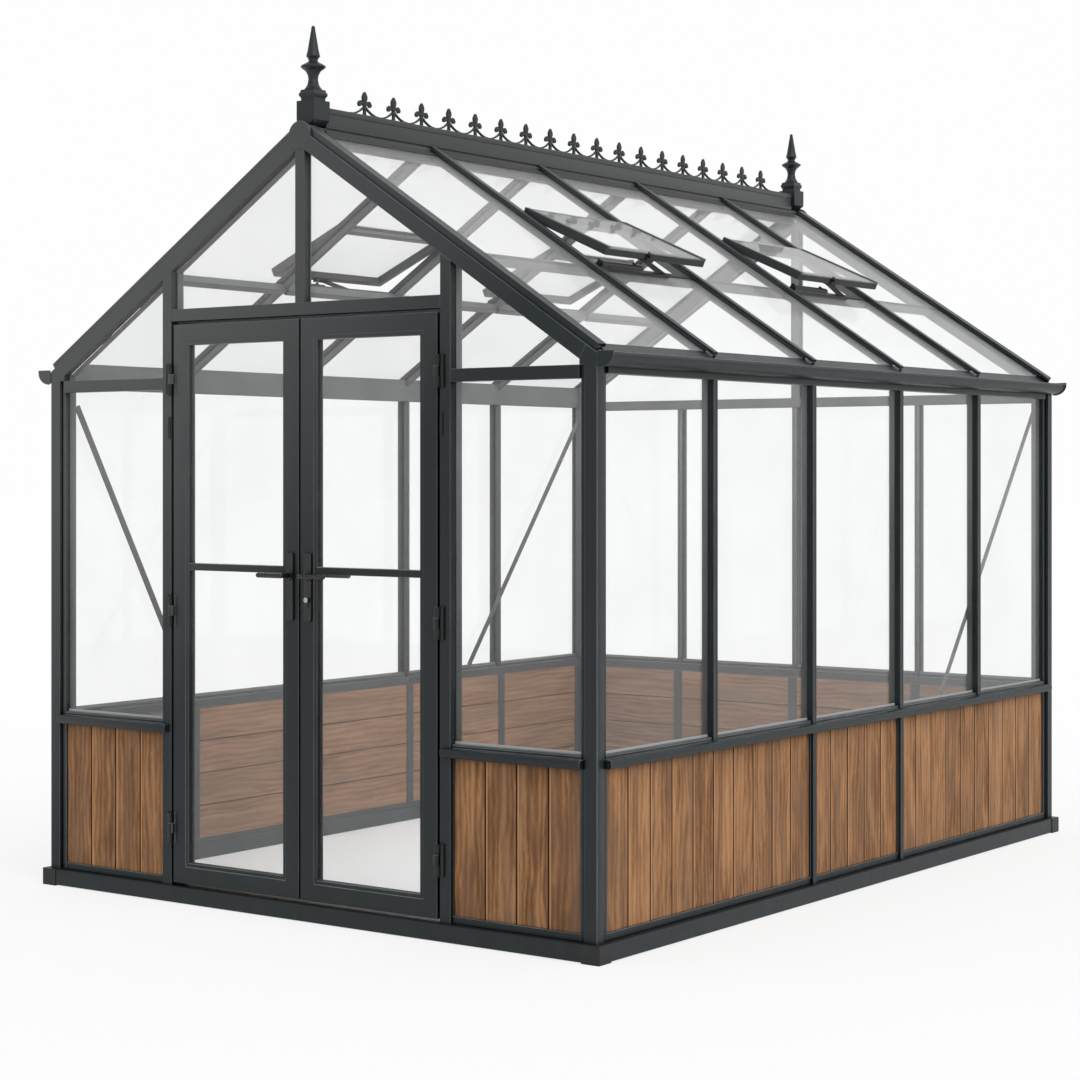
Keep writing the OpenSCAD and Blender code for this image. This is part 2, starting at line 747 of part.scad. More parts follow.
module ridge_cover() {
    z0 = apex_z - glass_t / cp - neck_half * tp;
    h = ridge_half - band_out;
    // underside of the flashing, just clear of the glass
    g = glass_play;
    nx = neck_half - 1;
    nz = apex_z - nx * tp + g / cp;
    fx = flash_s * cp + g * sp;
    fz = apex_z - flash_s * sp + g * cp;
    y0 = block_y0 + block_w / 2;
    len = block_y1 - block_y0 - block_w;
    color(graphite) {
        // neck on the ridge beam, running on under the finial blocks
        gable(yf + glass_in / 2, frame_l - glass_in) polygon([[-neck_half, z0], [0, z0 + neck_half * tp],
            [neck_half, z0], [neck_half, cover_z], [-neck_half, cover_z]]);
        gable(y0, len) polygon([[-h, cover_z], [h, cover_z], [h, crest_z - band_h - band_out],
            [ridge_half, crest_z - band_h], [ridge_half, crest_z - 2], [ridge_half - 2, crest_z],
            [2 - ridge_half, crest_z], [-ridge_half, crest_z - 2], [-ridge_half, crest_z - band_h],
            [-h, crest_z - band_h - band_out]]);
        // flashing on the glass of each bay, with an upstand under the cover
        both_x() for (k = [0:1:bays - 1]) {
            a = k == 0 ? y0 : bar_y(k) + bar_w / 2 + glass_play;
            b = k == bays - 1 ? y0 + len : bar_y(k + 1) - bar_w / 2 - glass_play;
            gable(a, b - a) polygon([[nx, nz], [nx, cover_z - flash_gap], [h, cover_z - flash_gap],
                [h, apex_z - h * tp + (g + flash_t) / cp], [fx + flash_t * sp, fz + flash_t * cp], [fx, fz]]);
        }
    }
}

// Roof bar on its seals, with a foot at its lower end; a bar over a gable rafter,
// on the side its edge names, is wider and has a strip down to the rafter
module roof_bar(y, edge) {
    e = bar_w / 2; w = edge == 0 ? e : edge_w - e; p = glass_play;
    color(graphite) difference() {
        union() {
            on_roof() translate([0, y, 0]) mirror([0, edge < 0 ? 1 : 0, 0]) {
                box([0, -e, seal_h], [s_end, w, cap_h]);
                box([0, 1 - e, 0], [s_glass, w - 1, seal_h + 1]);
                box([s_end - hook, -e / 2, 0], [s_end + hook, e / 2, cap_h / 2]);
            }
            if (edge == 0) intersection() {
                on_roof() box([0, y - leg_w / 2, -glass_t - leg_d], [s_end, y + leg_w / 2, 1]);
                box([ridge_half, y - leg_w, 0], [hw - eave_d, y + leg_w, apex_z]);
            } else intersection() {
                on_roof() translate([0, y, -glass_t]) mirror([0, edge > 0 ? 0 : 1, 0])
                    box([0, -e, 0], [s_end, leg_w / 2 - p, glass_t + seal_h + 1]);
                box([0, y - bar_w, 0], [hw, y + bar_w, apex_z]);
            }
        }
        box([-hw, y - edge_w, 0], [neck_half + p, y + edge_w, 2 * apex_z]);
        box([0, y - edge_w, cover_z - p], [ridge_half + p, y + edge_w, 2 * apex_z]);
    }
}
edge_in = edge_set + bar_w / 2;
module roof_bars() {
    for (k = [1:1:bays - 1]) roof_bar(bar_y(k), 0);
    roof_bar(yf + edge_in, 1);
    roof_bar(yb - edge_in, -1);
}
module right_roof_bars() { roof_bars(); }
module left_roof_bars() { mirror([1, 0, 0]) roof_bars(); }

// Clear edges of each bay for glass and purlins
function bay_a(k) = k == 0 ? yf + edge_in + leg_w / 2 : bar_y(k) + leg_w / 2 + glass_play;
function bay_b(k) = k == bays - 1 ? yb - edge_in - leg_w / 2 : bar_y(k + 1) - leg_w / 2 - glass_play;
function is_vent(k) = len([for (v = vent_bays) if (v == k) v]) > 0;
function pur_a(k) = k == 0 ? yf + reach_y : bar_y(k) + leg_w / 2;
function pur_b(k) = k == bays - 1 ? yb - reach_y : bar_y(k + 1) - leg_w / 2;

// Cross pieces under the glass; those of a vent's bay stand up as its sill and
// its hinge bar
hinge_s = vent_from - 14;
sill_s = vent_to - 8;
module purlins() {
    for (k = [0:1:bays - 1]) on_roof() {
        box([vent_to - purlin_w, pur_a(k), -glass_t - purlin_d], [vent_to, pur_b(k), -glass_t]);
        if (is_vent(k)) {
            a = bar_y(k) + bar_w / 2; b = bar_y(k + 1) - bar_w / 2;
            box([vent_to - purlin_w, a, -glass_t], [sill_s, b, glass_t]);
            box([hinge_s, a, -glass_t - 1], [vent_from, b, 1]);
            box([hinge_s - glass_t, pur_a(k), -glass_t - 16], [vent_from, pur_b(k), -glass_t]);
        }
    }
}
module right_purlins() { color(graphite) purlins(); }
module left_purlins() { color(graphite) mirror([1, 0, 0]) purlins(); }

module roof_panes() {
    for (k = [0:1:bays - 1]) on_roof() {
        if (is_vent(k)) {
            box([s_neck, bay_a(k), -glass_t], [hinge_s, bay_b(k), 0]);
            box([sill_s, bay_a(k), -glass_t], [s_glass, bay_b(k), 0]);
        } else box([s_neck, bay_a(k), -glass_t], [s_glass, bay_b(k), 0]);
    }
}
module right_roof_glass() { color(pane) roof_panes(); }
module left_roof_glass() { color(pane) mirror([1, 0, 0]) roof_panes(); }

// ---------- roof vents ----------

// Children drawn on a vent: X down it from its hinge, Z square off it
module on_vent(k) {
    on_roof() translate([vent_from, (bar_y(k) + bar_y(k + 1)) / 2, 1])
        rotate([0, -vent_open, 0]) children();
}
vent_hw = bay / 2 - bar_w / 2 - vent_play;

vent_rebate = 6;

// A ring of four members, with strips over the edges of the glass
module vent_frames() {
    w = vent_hw; f = vent_fw; t = vent_t; z1 = t + glass_t + strip_t;
    color(graphite) both_x() for (k = vent_bays) {
        on_vent(k) {
            difference() {
                box([0, -w, 0], [vent_l, w, t]);
                box([f, -w + f, -1], [vent_l - f, w - f, t + 1]);
            }
            for (m = [0, 1]) mirror([0, m, 0]) {
                box([0, w - vent_rebate, t - 1], [vent_l, w, z1]);
                box([0, w - f / 2 - vent_rebate, t + glass_t], [vent_l, w, z1]);
            }
        }
        // hinge leaf lying on the hinge bar
        on_roof() translate([0, (bar_y(k) + bar_y(k + 1)) / 2, 0])
            box([hinge_s, -w, 1], [vent_from + 3, w, 3]);
    }
}
module vent_glass() {
    w = vent_hw - vent_rebate - glass_play;
    color(pane) both_x() for (k = vent_bays) on_vent(k)
        box([0, -w, vent_t], [vent_l + vent_rebate, w, vent_t + glass_t]);
}

// Cylinder on a base along the sill, and an arm up to a clamp with a wing screw
// on the vent's lower rail
module vent_openers() {
    r = opener_r; x0 = sill_s + 2; x1 = vent_to + r; h = r + 1; c = opener_l / 12;
    ya = -vent_hw + vent_play; yc = ya + opener_l * 0.56;
    lift = (vent_l - vent_lap) * sin(vent_open);
    color(dark) both_x() for (k = vent_bays) {
        on_roof() translate([0, (bar_y(k) + bar_y(k + 1)) / 2, 0]) {
            box([x0, ya, 0], [x1, ya + opener_l, h]);
            // cylinder between its end plates
            translate([x0 + r + 1, 0, h + r - 1]) rotate([-90, 0, 0]) {
                translate([0, 0, ya + 4]) cylinder(r = r, h = yc - ya, $fn = 32);
                translate([0, 0, yc]) cylinder(r = r / 2, h = c / 2, $fn = 24);
            }
            for (y = [ya, yc - c]) box([x0, y, h - 1], [x1, y + 5, h + 2 * r + 2]);
            // arm
            translate([x0 + 4, 0, 0]) rotate([90, 0, 90]) linear_extrude(6)
                polygon([[-2.2 * c, lift - 2], [-0.6 * c, lift - 2], [ya + opener_l - 4, h - 1],
                         [ya + opener_l - 2 * c, h - 1]]);
        }
        on_vent(k) translate([vent_l, -1.4 * c, 0]) {
            box([-vent_lap - r, -0.9 * c, -5], [4, 0.9 * c, 0]);
            box([0, -0.4 * c, -5], [4, 0.4 * c, vent_t - 2]);
            translate([vent_rebate, 0, vent_t - 6]) rotate([0, 90, 0]) cylinder(r = r * 0.7, h = 5, $fn = 24);
            translate([3, 0, vent_t - 6]) rotate([0, 90, 0]) cylinder(r = 3, h = 5, $fn = 16);
            translate([vent_rebate, -0.35 * c, vent_t]) rotate([-30, 0, 0]) box([1, -r, -3], [5, r, 4]);
        }
    }
}

// ---------- cresting and finials ----------

// Half of the ornament's outline, from its foot up round the curl to the tip of
// the middle leaf, for a height of 80
petal = concat([[5.5, 0], [5.5, 6], [4.5, 11], [4.5, 31], [8, 36], [13, 38.5], [17, 39]],
    [for (a = [202:29:405]) [25.5 + 8 * cos(a), 38 + 8 * sin(a)]],
    [[27, 48], [21, 50.5], [15, 49], [10.5, 45], [7.5, 42], [8.5, 50], [11, 57], [11.5, 62],
     [10, 67], [6, 73.5], [2.5, 78], [0, 80]]);

module fleur() {
    k = fleur_h / 80;
    polygon(concat([for (p = petal) p * k],
        [for (i = [len(petal) - 2:-1:0]) [-petal[i][0] * k, petal[i][1] * k]]));
}

crest_len = block_y1 - block_y0;
crest_step = crest_len / (fleurs - 1 + 2 * crest_end);
scallop_h = fleur_h * 0.38;
scallop_r = (crest_step * crest_step / 4 + scallop_h * scallop_h) / (2 * scallop_h);
scallop_a = asin(crest_step / 2 / scallop_r);

// Hanging arc between two ornaments, over part of its angle
module scallop(a0, a1) {
    r = scallop_r; n = 8; s = (a1 - a0) / n;
    polygon(concat([for (i = [0:1:n]) [r * sin(a0 + i * s), r - r * cos(a0 + i * s)]],
        [for (i = [n:-1:0]) [(r - scallop_t) * sin(a0 + i * s), r - (r - scallop_t) * cos(a0 + i * s)]]));
}

module cresting() {
    y0 = block_y0 + crest_end * crest_step;
    color(graphite) translate([crest_t / 2, 0, crest_z]) rotate([90, 0, -90]) linear_extrude(crest_t)
        scale([-1, 1]) {
            for (i = [0:1:fleurs - 1]) translate([y0 + i * crest_step, 0]) fleur();
            for (i = [0:1:fleurs]) translate([y0 + (i - 0.5) * crest_step, 0])
                scallop(i == 0 ? 0 : -scallop_a, i == fleurs ? 0 : scallop_a);
        }
}

// Turned spire as [radius, height], on a square moulding, for a height of 242.5
spire = [[0, 35], [27.5, 35], [27.5, 40], [24, 44], [18.5, 54], [15.6, 69.5], [17, 82], [22, 92.5],
    [25, 97], [36, 105], [40, 108.5], [40, 112.5], [36, 115.5], [26, 121], [17, 126], [14.5, 130.5],
    [17, 137], [22, 143], [22, 146.5], [18.5, 160], [6.5, 231], [6.5, 234], [5.5, 238.5], [3, 241.5],
    [0, 242.5]];
moulding = [[27.5, 0], [27.5, 9], [29.5, 13], [32.5, 18], [32.5, 24], [29.5, 29], [28.5, 32], [28.5, 36]];

// Square moulding: its outline drawn through both ways
module square_moulding(k) {
    w = 80 * k;
    intersection_for (t = [0, 90]) rotate([0, 0, t]) gable(-w / 2, w)
        polygon(concat([for (p = moulding) p * k],
            [for (i = [len(moulding) - 1:-1:0]) [-moulding[i][0] * k, moulding[i][1] * k]]));
}

module finial(y) {
    k = finial_h / 242.5; w = block_w / 2; p = glass_play; n = neck_half + p;
    color(graphite) translate([0, y, 0]) {
        difference() {
            box([-w, -w, apex_z - block_w], [w, w, block_top]);
            box([-n, -block_w, 0], [n, block_w, cover_z]);
            for (m = [0, 1]) mirror([m, 0, 0]) on_roof() {
                box([-block_w, -block_w, -2 * block_w], [2 * block_w, block_w, p]);
                // clear of the outermost roof bar
                box([n, -block_w, 0], [2 * block_w, edge_set + edge_w + p - block_in, cap_h + p]);
            }
        }
        translate([0, 0, block_top]) {
            square_moulding(k);
            rotate_extrude($fn = 48) polygon([for (q = spire) q * k]);
        }
    }
}
module front_finial() { finial(block_y0); }
module back_finial() { translate([0, yf + yb, 0]) mirror([0, 1, 0]) finial(block_y0); }

// ---------- wind braces ----------

// Flat bar inside a side wall, between two points given as [along Y, up Z]
module brace(p, q) {
    d = q - p; l = norm(d);
    translate([hw - glass_in - glass_t - leg_d - brace_t, p[0], p[1]])
        rotate([atan2(d[1], d[0]), 0, 0]) translate([0, 0, -brace_w / 2]) cube([brace_t, l, brace_w]);
}
brace_z0 = sill_top + 20;
brace_z1 = wall_z1 - 60;
module wind_braces() {
    e = reach_y + brace_w / 2;
    color(graphite) {
        mirror([1, 0, 0]) brace([yf + e, brace_z1], [yf + e + brace_front, brace_z0]);
        both_x() brace([yb - e - brace_back, brace_z0], [yb - e, brace_z1]);
    }
}

// ---------- doors ----------

hinges = [leaf_z0 + hinge_end, hinge_mid, leaf_z1 - hinge_end];
third = hinge_l / 3;

// Barrel pieces of one hinge: fixed = outer thirds, moving = middle third
module barrel(z, l) { translate([axis_x, axis_y, z - l / 2]) cylinder(r = barrel_r, h = l, $fn = 32); }

// Plate on the jamb with the two outer knuckles and the pin, and the catch plate
module hinge_knuckles() {
    l = third - knuckle_play; x = axis_x + barrel_r + 1;
    color(dark) both_x() {
        for (z = hinges) {
            for (s = [-1, 1]) {
                barrel(z + s * third, l);
                box([axis_x, axis_y - hinge_t, z + s * third - l / 2],
                    [x + 1, leaf_y, z + s * third + l / 2]);
            }
            translate([axis_x, axis_y, z - hinge_l / 2 + 1]) cylinder(r = pin_r, h = hinge_l - 2, $fn = 24);
            box([x, leaf_y - 2 * hinge_t, z - hinge_l / 2], [axis_x + hinge_reach, leaf_y, z + hinge_l / 2]);
        }
        z1 = hinges[2] - 1.25 * hinge_l;
        box([half_open + 1, leaf_y - hinge_t, z1 - catch_l], [half_open + hinge_reach / 2, leaf_y, z1]);
    }
}

module leaf_knuckle(z) {
    l = third - knuckle_play; x = axis_x - barrel_r;
    difference() {
        union() {
            barrel(z, l);
            box([x - 5, axis_y - hinge_t, z - l / 2], [axis_x, leaf_y, z + l / 2]);
        }
        translate([axis_x, axis_y, z - third]) cylinder(r = pin_r + 0.1, h = 2 * third, $fn = 24);
    }
    box([x - 5, leaf_y - hinge_t, z - hinge_l / 2], [x - 1, leaf_y, z + hinge_l / 2]);
}

open_x0 = leaf_x0 + stile_w;
open_x1 = leaf_x1 - stile_w;
open_z0 = leaf_z0 + stile_w;
open_z1 = leaf_z1 - stile_w;
lite_y = leaf_y + lite_in;
lite_spans = [[open_z0, mid_z - mid_h / 2], [mid_z + mid_h / 2, open_z1]];

// Right-hand leaf, closed
module leaf() {
    y1 = leaf_y + leaf_t; b = leaf_bead; e = leaf_bead_in;
    difference() {
        box([leaf_x0, leaf_y, leaf_z0], [leaf_x1, y1, leaf_z1]);
        for (z = lite_spans) box([open_x0, leaf_y - 1, z[0]], [open_x1, y1 + 1, z[1]]);
        // beads round the panes, a step below both faces
        for (y = [leaf_y - 1, y1 - e])
            box([open_x0 - b, y, open_z0 - b], [open_x1 + b, y + e + 1, open_z1 + b]);
        // spindle hole
        translate([plate_x, leaf_y - 1, lever_z]) rotate([-90, 0, 0])
            cylinder(r = spindle_r + 1, h = leaf_t + 2, $fn = 24);
    }
    for (z = hinges) leaf_knuckle(z);
}
module right_door() { color(graphite) leaf(); }
module left_door() { color(graphite) mirror([1, 0, 0]) leaf(); }

module lites() {
    for (z = lite_spans) box([open_x0, lite_y, z[0]], [open_x1, lite_y + glass_t, z[1]]);
}
module right_door_glass() { color(pane) lites(); }
module left_door_glass() { color(pane) mirror([1, 0, 0]) lites(); }

// Back plate and rose on one face, the face on y = 0 and outward along -Y
module plate() {
    r = plate_w / 2; z0 = lever_z - plate_l * 0.665; z1 = z0 + plate_l; c = plate_w / 4; d = c * 0.3;
    difference() {
        union() {
            translate([plate_x, 0, 0]) rotate([90, 0, 0]) linear_extrude(plate_t)
                polygon([[-r, z0 + c], [d - r, z0 + d], [c - r, z0], [r - c, z0], [r - d, z0 + d], [r, z0 + c],
                         [r, z1 - d], [r - d, z1], [d - r, z1], [-r, z1 - d]]);
            translate([plate_x, 0, lever_z]) rotate([90, 0, 0])
                cylinder(r = min(rose_r, r), h = 2 * plate_t, $fn = 40);
        }
        translate([plate_x, 1, lever_z]) rotate([90, 0, 0])
            cylinder(r = spindle_r + 1, h = 2 * plate_t + 2, $fn = 24);
    }
}

// Lock cylinder with its keyhole end, standing out of the plate
module lock() {
    r = plate_w / 4;
    translate([plate_x, leaf_y - plate_t, lever_z - cyl_drop]) rotate([90, 0, 0]) linear_extrude(3) {
        circle(r = r, $fn = 32);
        translate([-r * 0.6, -2.6 * r]) square([r * 1.2, 2.6 * r]);
        translate([0, -2.6 * r]) circle(r = r * 0.6, $fn = 24);
    }
}
module plates(locked) {
    translate([0, leaf_y, 0]) plate();
    translate([0, leaf_y + leaf_t, 0]) mirror([0, 1, 0]) plate();
    if (locked) lock();
}
module right_plates() { color(dark) plates(true); }
module left_plates() { color(dark) mirror([1, 0, 0]) plates(false); }

// Pair of levers on one spindle, pointing to the hinge side
module levers() {
    y0 = leaf_y - plate_t - lever_out; y1 = leaf_y + leaf_t + plate_t + lever_out;
    translate([plate_x, y0, lever_z]) rotate([-90, 0, 0]) cylinder(r = spindle_r, h = y1 - y0, $fn = 24);
    for (y = [y0, y1]) translate([plate_x, y, lever_z]) {
        sphere(r = grip_r, $fn = 24);
        rotate([0, 90, 0]) cylinder(r = grip_r, h = lever_l - grip_r, $fn = 24);
        translate([lever_l - grip_r, 0, 0]) sphere(r = grip_r, $fn = 24);
    }
}
module right_lever() { color(dark) levers(); }
module left_lever() { color(dark) mirror([1, 0, 0]) levers(); }

// ---------- what is drawn ----------

base_beams();
base_corners();
corner_posts();
door_jambs();
door_header();
front_rails();
back_rails();
front_rafters();
back_rafters();
front_sills();
back_sills();
right_sills();
left_sills();
dado_posts();
front_panel_frames();
back_panel_frames();
right_panel_frames();
left_panel_frames();
front_boards();
back_boards();
right_boards();
left_boards();
front_lining();
back_lining();
right_lining();
left_lining();
right_bars();
left_bars();
back_bars();
front_glass();
back_glass();
right_glass();
left_glass();
eave_beams();
right_gutter();
left_gutter();
ridge_beam();
ridge_cover();
cresting();
front_finial();
back_finial();
right_roof_bars();
left_roof_bars();
right_purlins();
left_purlins();
right_roof_glass();
left_roof_glass();
vent_frames();
vent_glass();
vent_openers();
wind_braces();
hinge_knuckles();
left_door();
left_door_glass();
left_plates();
left_lever();
right_door();
right_door_glass();
right_plates();
right_lever();
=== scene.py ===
# Looks of the victorian greenhouse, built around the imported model.
# Metres, in the part's frame: X along the front gable, -Y the front, +Z up.
import bisect
import json
import math
import random
import bpy
import bmesh
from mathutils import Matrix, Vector


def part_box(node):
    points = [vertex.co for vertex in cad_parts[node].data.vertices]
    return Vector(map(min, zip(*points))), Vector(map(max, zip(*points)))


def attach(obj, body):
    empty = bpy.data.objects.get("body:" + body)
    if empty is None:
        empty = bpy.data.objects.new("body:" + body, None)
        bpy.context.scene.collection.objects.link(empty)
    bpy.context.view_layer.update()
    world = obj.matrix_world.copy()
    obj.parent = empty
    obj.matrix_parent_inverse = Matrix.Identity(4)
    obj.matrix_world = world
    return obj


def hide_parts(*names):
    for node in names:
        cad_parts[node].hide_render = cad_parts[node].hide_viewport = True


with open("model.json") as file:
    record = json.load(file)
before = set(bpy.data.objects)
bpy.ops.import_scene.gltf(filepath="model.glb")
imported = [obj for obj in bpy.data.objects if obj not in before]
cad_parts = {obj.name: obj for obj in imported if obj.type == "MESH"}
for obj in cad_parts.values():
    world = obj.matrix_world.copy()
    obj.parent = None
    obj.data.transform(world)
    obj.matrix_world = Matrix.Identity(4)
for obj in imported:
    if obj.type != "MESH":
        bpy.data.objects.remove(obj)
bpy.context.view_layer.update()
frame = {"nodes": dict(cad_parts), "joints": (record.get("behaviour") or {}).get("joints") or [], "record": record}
PACKED = frame["nodes"]
BODY_OF = {part: body for body, parts in frame["record"]["behaviour"]["bodies"].items() for part in parts}
SLOT_OF = {part["node"]: part["material_slot"] for part in frame["record"]["subparts"]}

# Plain colours of the finishes
GRAPHITE = (0.0110, 0.0165, 0.0190)
DOOR_GRAPHITE = (0.0085, 0.0130, 0.0150)
# painted highlight on the eased edges that face up
EDGE_HIGHLIGHT_GREY = (0.20, 0.22, 0.23)
CAST_BLACK = (0.0075, 0.0080, 0.0085)
SATIN_BLACK = (0.0060, 0.0064, 0.0070)
# painted light: the paler coat colour towards the top and the left
PAINTED_LIGHT_GREY = (0.072, 0.074, 0.075)
DUST = (0.150, 0.140, 0.125)
# painted reflection: the pale veil on the coat seen inside the glass
VEIL_GREY = (0.222, 0.225, 0.227)
SEAL_GREY = (0.42, 0.43, 0.43)
STEEL = (0.40, 0.40, 0.39)
JOINT_BROWN = (0.022, 0.011, 0.006)
WALL_TINT = (0.985, 0.989, 0.989)
ROOF_TINT = (0.982, 0.987, 0.987)
GLASS_SHADOW = (0.74, 0.75, 0.75)
PLAIN = (0.02, 0.02, 0.02, 1)  # start value of the colour sockets
WHITE = (1, 1, 1, 1)

# How the coat is painted lighter, as painted light: paler with height, up to a top, and towards the left
LIGHTER_TOP = 2.1
LIGHTER_UP = 0.50
LIGHTER_LEFT = 0.45
LIGHTER_START = 0.55
LIGHTER_FULL = 1.20

# The painted veil, a painted reflection of the glass on the coat inside it, grows between these heights
VEIL_LOW, VEIL_HIGH = 0.9, 1.8

# Grain: how often each layer repeats across, through and along a board
FIGURE = (17, 1, 3.0)
STREAKS = (85, 1, 16)
FIBRES = (260, 1, 42)
RINGS = (2.4, 1, 0.55)
WEATHER = (15, 3, 1.9)
GRAIN_STEP = 3.7  # how far the grain is moved on from one board to the next
TONE_SWING = 0.07  # how much lighter or darker a single board is
GABLE_SHADE = -0.06  # painted shade: the gable boards are made darker, as their side gets less light
BOARD_SEED = 11
LINING_SEED = 31

# Small sizes
EASE = 0.0012  # rounding of the profiles' long edges
FINE_EASE = 0.0006  # the same on hinges and handles
SEAL_EASE = 0.0004
STRIP_EASE = 0.0005
WELD = 0.00002  # corners closer than this are one
SKIN = 0.0002  # what lies deeper than this is inside a board's groove
SUNK = 0.0005  # how deep added trim sits in what carries it
SEAL_BAND = 0.008  # height of the pale glazing seal above the bottom beads
SEAL_PROUD = 0.0015
SEAL_TUCK = 0.001  # the seal starts this much below the bead's top
LOW_PANE = 0.9  # panes that start lower than this stand on a bottom bead
BEAD = 0.012  # height of the bottom glazing beads
STRIP_WIDE = 0.040  # cover strips over the lining
STRIP_THICK = 0.003
LIT_FLANK = (0.006, 0.010)  # painted highlight on a board's lit flank, from full to none past the joint
CYLINDER_DROP = 0.076  # lock cylinder under the lever
CYLINDER_STEPS = 32
CREASE = 38  # degrees between faces that stay a sharp corner

# The room inside the glass, and how steeply the roof falls from the ridge
ROOM_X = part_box("right_glass")[0][0]
ROOM_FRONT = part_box("front_glass")[1][1]
ROOM_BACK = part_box("back_glass")[0][1]
SLOPE_LOW, SLOPE_HIGH = (Vector(corner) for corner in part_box("right_roof_glass"))
ROOF_FALL = (SLOPE_HIGH.z - SLOPE_LOW.z) / (SLOPE_HIGH.x - SLOPE_LOW.x)
ROOM_TOP = SLOPE_HIGH.z + SLOPE_LOW.x * ROOF_FALL

# Stage
FLOOR_WIDE = 160
FLOOR_WHITE = (0.92, 0.92, 0.92, 1)
FLOOR_GLOW = 0.74  # share of its own light that keeps the floor white
ROOM_GLOW = 0.10  # the same under the building
SOFT_EDGE = 0.04
SOFT_LIGHT = 0.82
SEEN_WHITE = 0.99
MIRROR_DIM, MIRROR_BRIGHT = 0.70, 1.04
BRIGHT_SIDE = (0.62, 0.77, 0.15)
KEY_FROM = (6.6, -2.6, 7.0)
KEY_STRENGTH = 1.05
KEY_SPREAD = 45
CAMERA_AT = (5.0788, -7.2261, 1.4257)
CAMERA_TURN = 36.13
CAMERA_LENS = 79.45
CAMERA_SENSOR = 36
CAMERA_SHIFT = -0.0634

# ---------- helpers for shader graphs ----------


def opaque(colour):
    """A colour with full alpha."""
    return (*colour, 1)


def new_material(name):
    """An empty material, its node tree and its output node."""
    mat = bpy.data.materials.new(name)
    mat.use_nodes = True
    tree = mat.node_tree
    tree.nodes.clear()
    out = tree.nodes.new("ShaderNodeOutputMaterial")
    return mat, tree, out


def add(tree, kind, **settings):
    """A shader node: sockets are set by their names, other words are properties."""
    made = tree.nodes.new(kind)
    for key, value in settings.items():
        label = key.replace("_", " ")
        if label in made.inputs:
            made.inputs[label].default_value = value
        else:
            setattr(made, key, value)
    return made


def wire(tree, start, end):
    """A link from an output to an input."""
    tree.links.new(start, end)


def feed(tree, socket, value):
    """An input that takes either a link or a plain value."""
    if isinstance(value, bpy.types.NodeSocket):
        wire(tree, value, socket)
    else:
        socket.default_value = value


def maths(tree, operation, a, b, clamp=False):
    """A Math node on two values or sockets."""
    made = add(tree, "ShaderNodeMath", operation=operation, use_clamp=clamp)
    feed(tree, made.inputs[0], a)
    feed(tree, made.inputs[1], b)
    return made.outputs[0]


def size_of(tree, value):
    """A value without its sign."""
    made = add(tree, "ShaderNodeMath", operation="ABSOLUTE")
    wire(tree, value, made.inputs[0])
    return made.outputs[0]


def swung(tree, value, amount):
    """A noise value's swing about its middle, times an amount."""
    return maths(tree, "MULTIPLY", maths(tree, "SUBTRACT", value, 0.5), amount)


def spread(tree, value, low, high, to_low=0.0, to_high=1.0):
    """A value taken from one range to another and held inside it."""
    made = tree.nodes.new("ShaderNodeMapRange")
    wire(tree, value, made.inputs["Value"])
    made.inputs["From Min"].default_value = low
    made.inputs["From Max"].default_value = high
    made.inputs["To Min"].default_value = to_low
    made.inputs["To Max"].default_value = to_high
    return made.outputs["Result"]


def blended(tree, share, a, b):
    """A colour between a and b by a share."""
    made = add(tree, "ShaderNodeMix", data_type="RGBA", blend_type="MIX")
    feed(tree, made.inputs[0], share)
    feed(tree, made.inputs[6], a)
    feed(tree, made.inputs[7], b)
    return made.outputs[2]


def dimmed(tree, colour, amount):
    """A colour times an amount."""
    made = add(tree, "ShaderNodeVectorMath", operation="SCALE")
    wire(tree, colour, made.inputs[0])
    wire(tree, amount, made.inputs["Scale"])
    return made.outputs[0]


def stretched(tree, place, amounts):
    """A place with each of its axes scaled."""
    made = add(tree, "ShaderNodeVectorMath", operation="MULTIPLY")
    wire(tree, place, made.inputs[0])
    made.inputs[1].default_value = amounts
    return made.outputs[0]


def cloud(tree, place, scale=1.0, detail=2.0, rough=0.5, twist=0.0):
    """A noise value over a place."""
    made = add(tree, "ShaderNodeTexNoise", Scale=scale, Detail=detail, Roughness=rough, Distortion=twist)
    wire(tree, place, made.inputs["Vector"])
    return made.outputs[0]


def object_place(tree):
    """A point's place in the part's frame, and its X, Y and Z by name."""
    place = tree.nodes.new("ShaderNodeTexCoord").outputs["Object"]
    parts = tree.nodes.new("ShaderNodeSeparateXYZ")
    wire(tree, place, parts.inputs[0])
    return place, parts.outputs


def mixed(tree, share, first, second):
    """One shader turning into another by a share."""
    made = tree.nodes.new("ShaderNodeMixShader")
    wire(tree, share, made.inputs[0])
    wire(tree, first.outputs[0], made.inputs[1])
    wire(tree, second.outputs[0], made.inputs[2])
    return made


def any_ray(tree, *labels):
    """One where a ray is of any of the named kinds."""
    path = tree.nodes.new("ShaderNodeLightPath")
    found = path.outputs[labels[0]]
    for label in labels[1:]:
        found = maths(tree, "MAXIMUM", found, path.outputs[label])
    return found


def new_group(name, takes, gives):
    """A shader group: what it takes is label to kind and start value, what it gives label to kind."""
    tree = bpy.data.node_groups.new(name, "ShaderNodeTree")
    for label, (kind, start) in takes.items():
        socket = tree.interface.new_socket(label, in_out="INPUT", socket_type="NodeSocket" + kind)
        socket.default_value = start
    for label, kind in gives.items():
        tree.interface.new_socket(label, in_out="OUTPUT", socket_type="NodeSocket" + kind)
    return tree, tree.nodes.new("NodeGroupInput").outputs, tree.nodes.new("NodeGroupOutput").inputs


def use_group(tree, group, **values):
    """A group placed in a material with its own values."""
    made = tree.nodes.new("ShaderNodeGroup")
    made.node_tree = group
    for key, value in values.items():
        made.inputs[key.replace("_", " ")].default_value = value
    return made


# ---------- effects shared by the finishes ----------


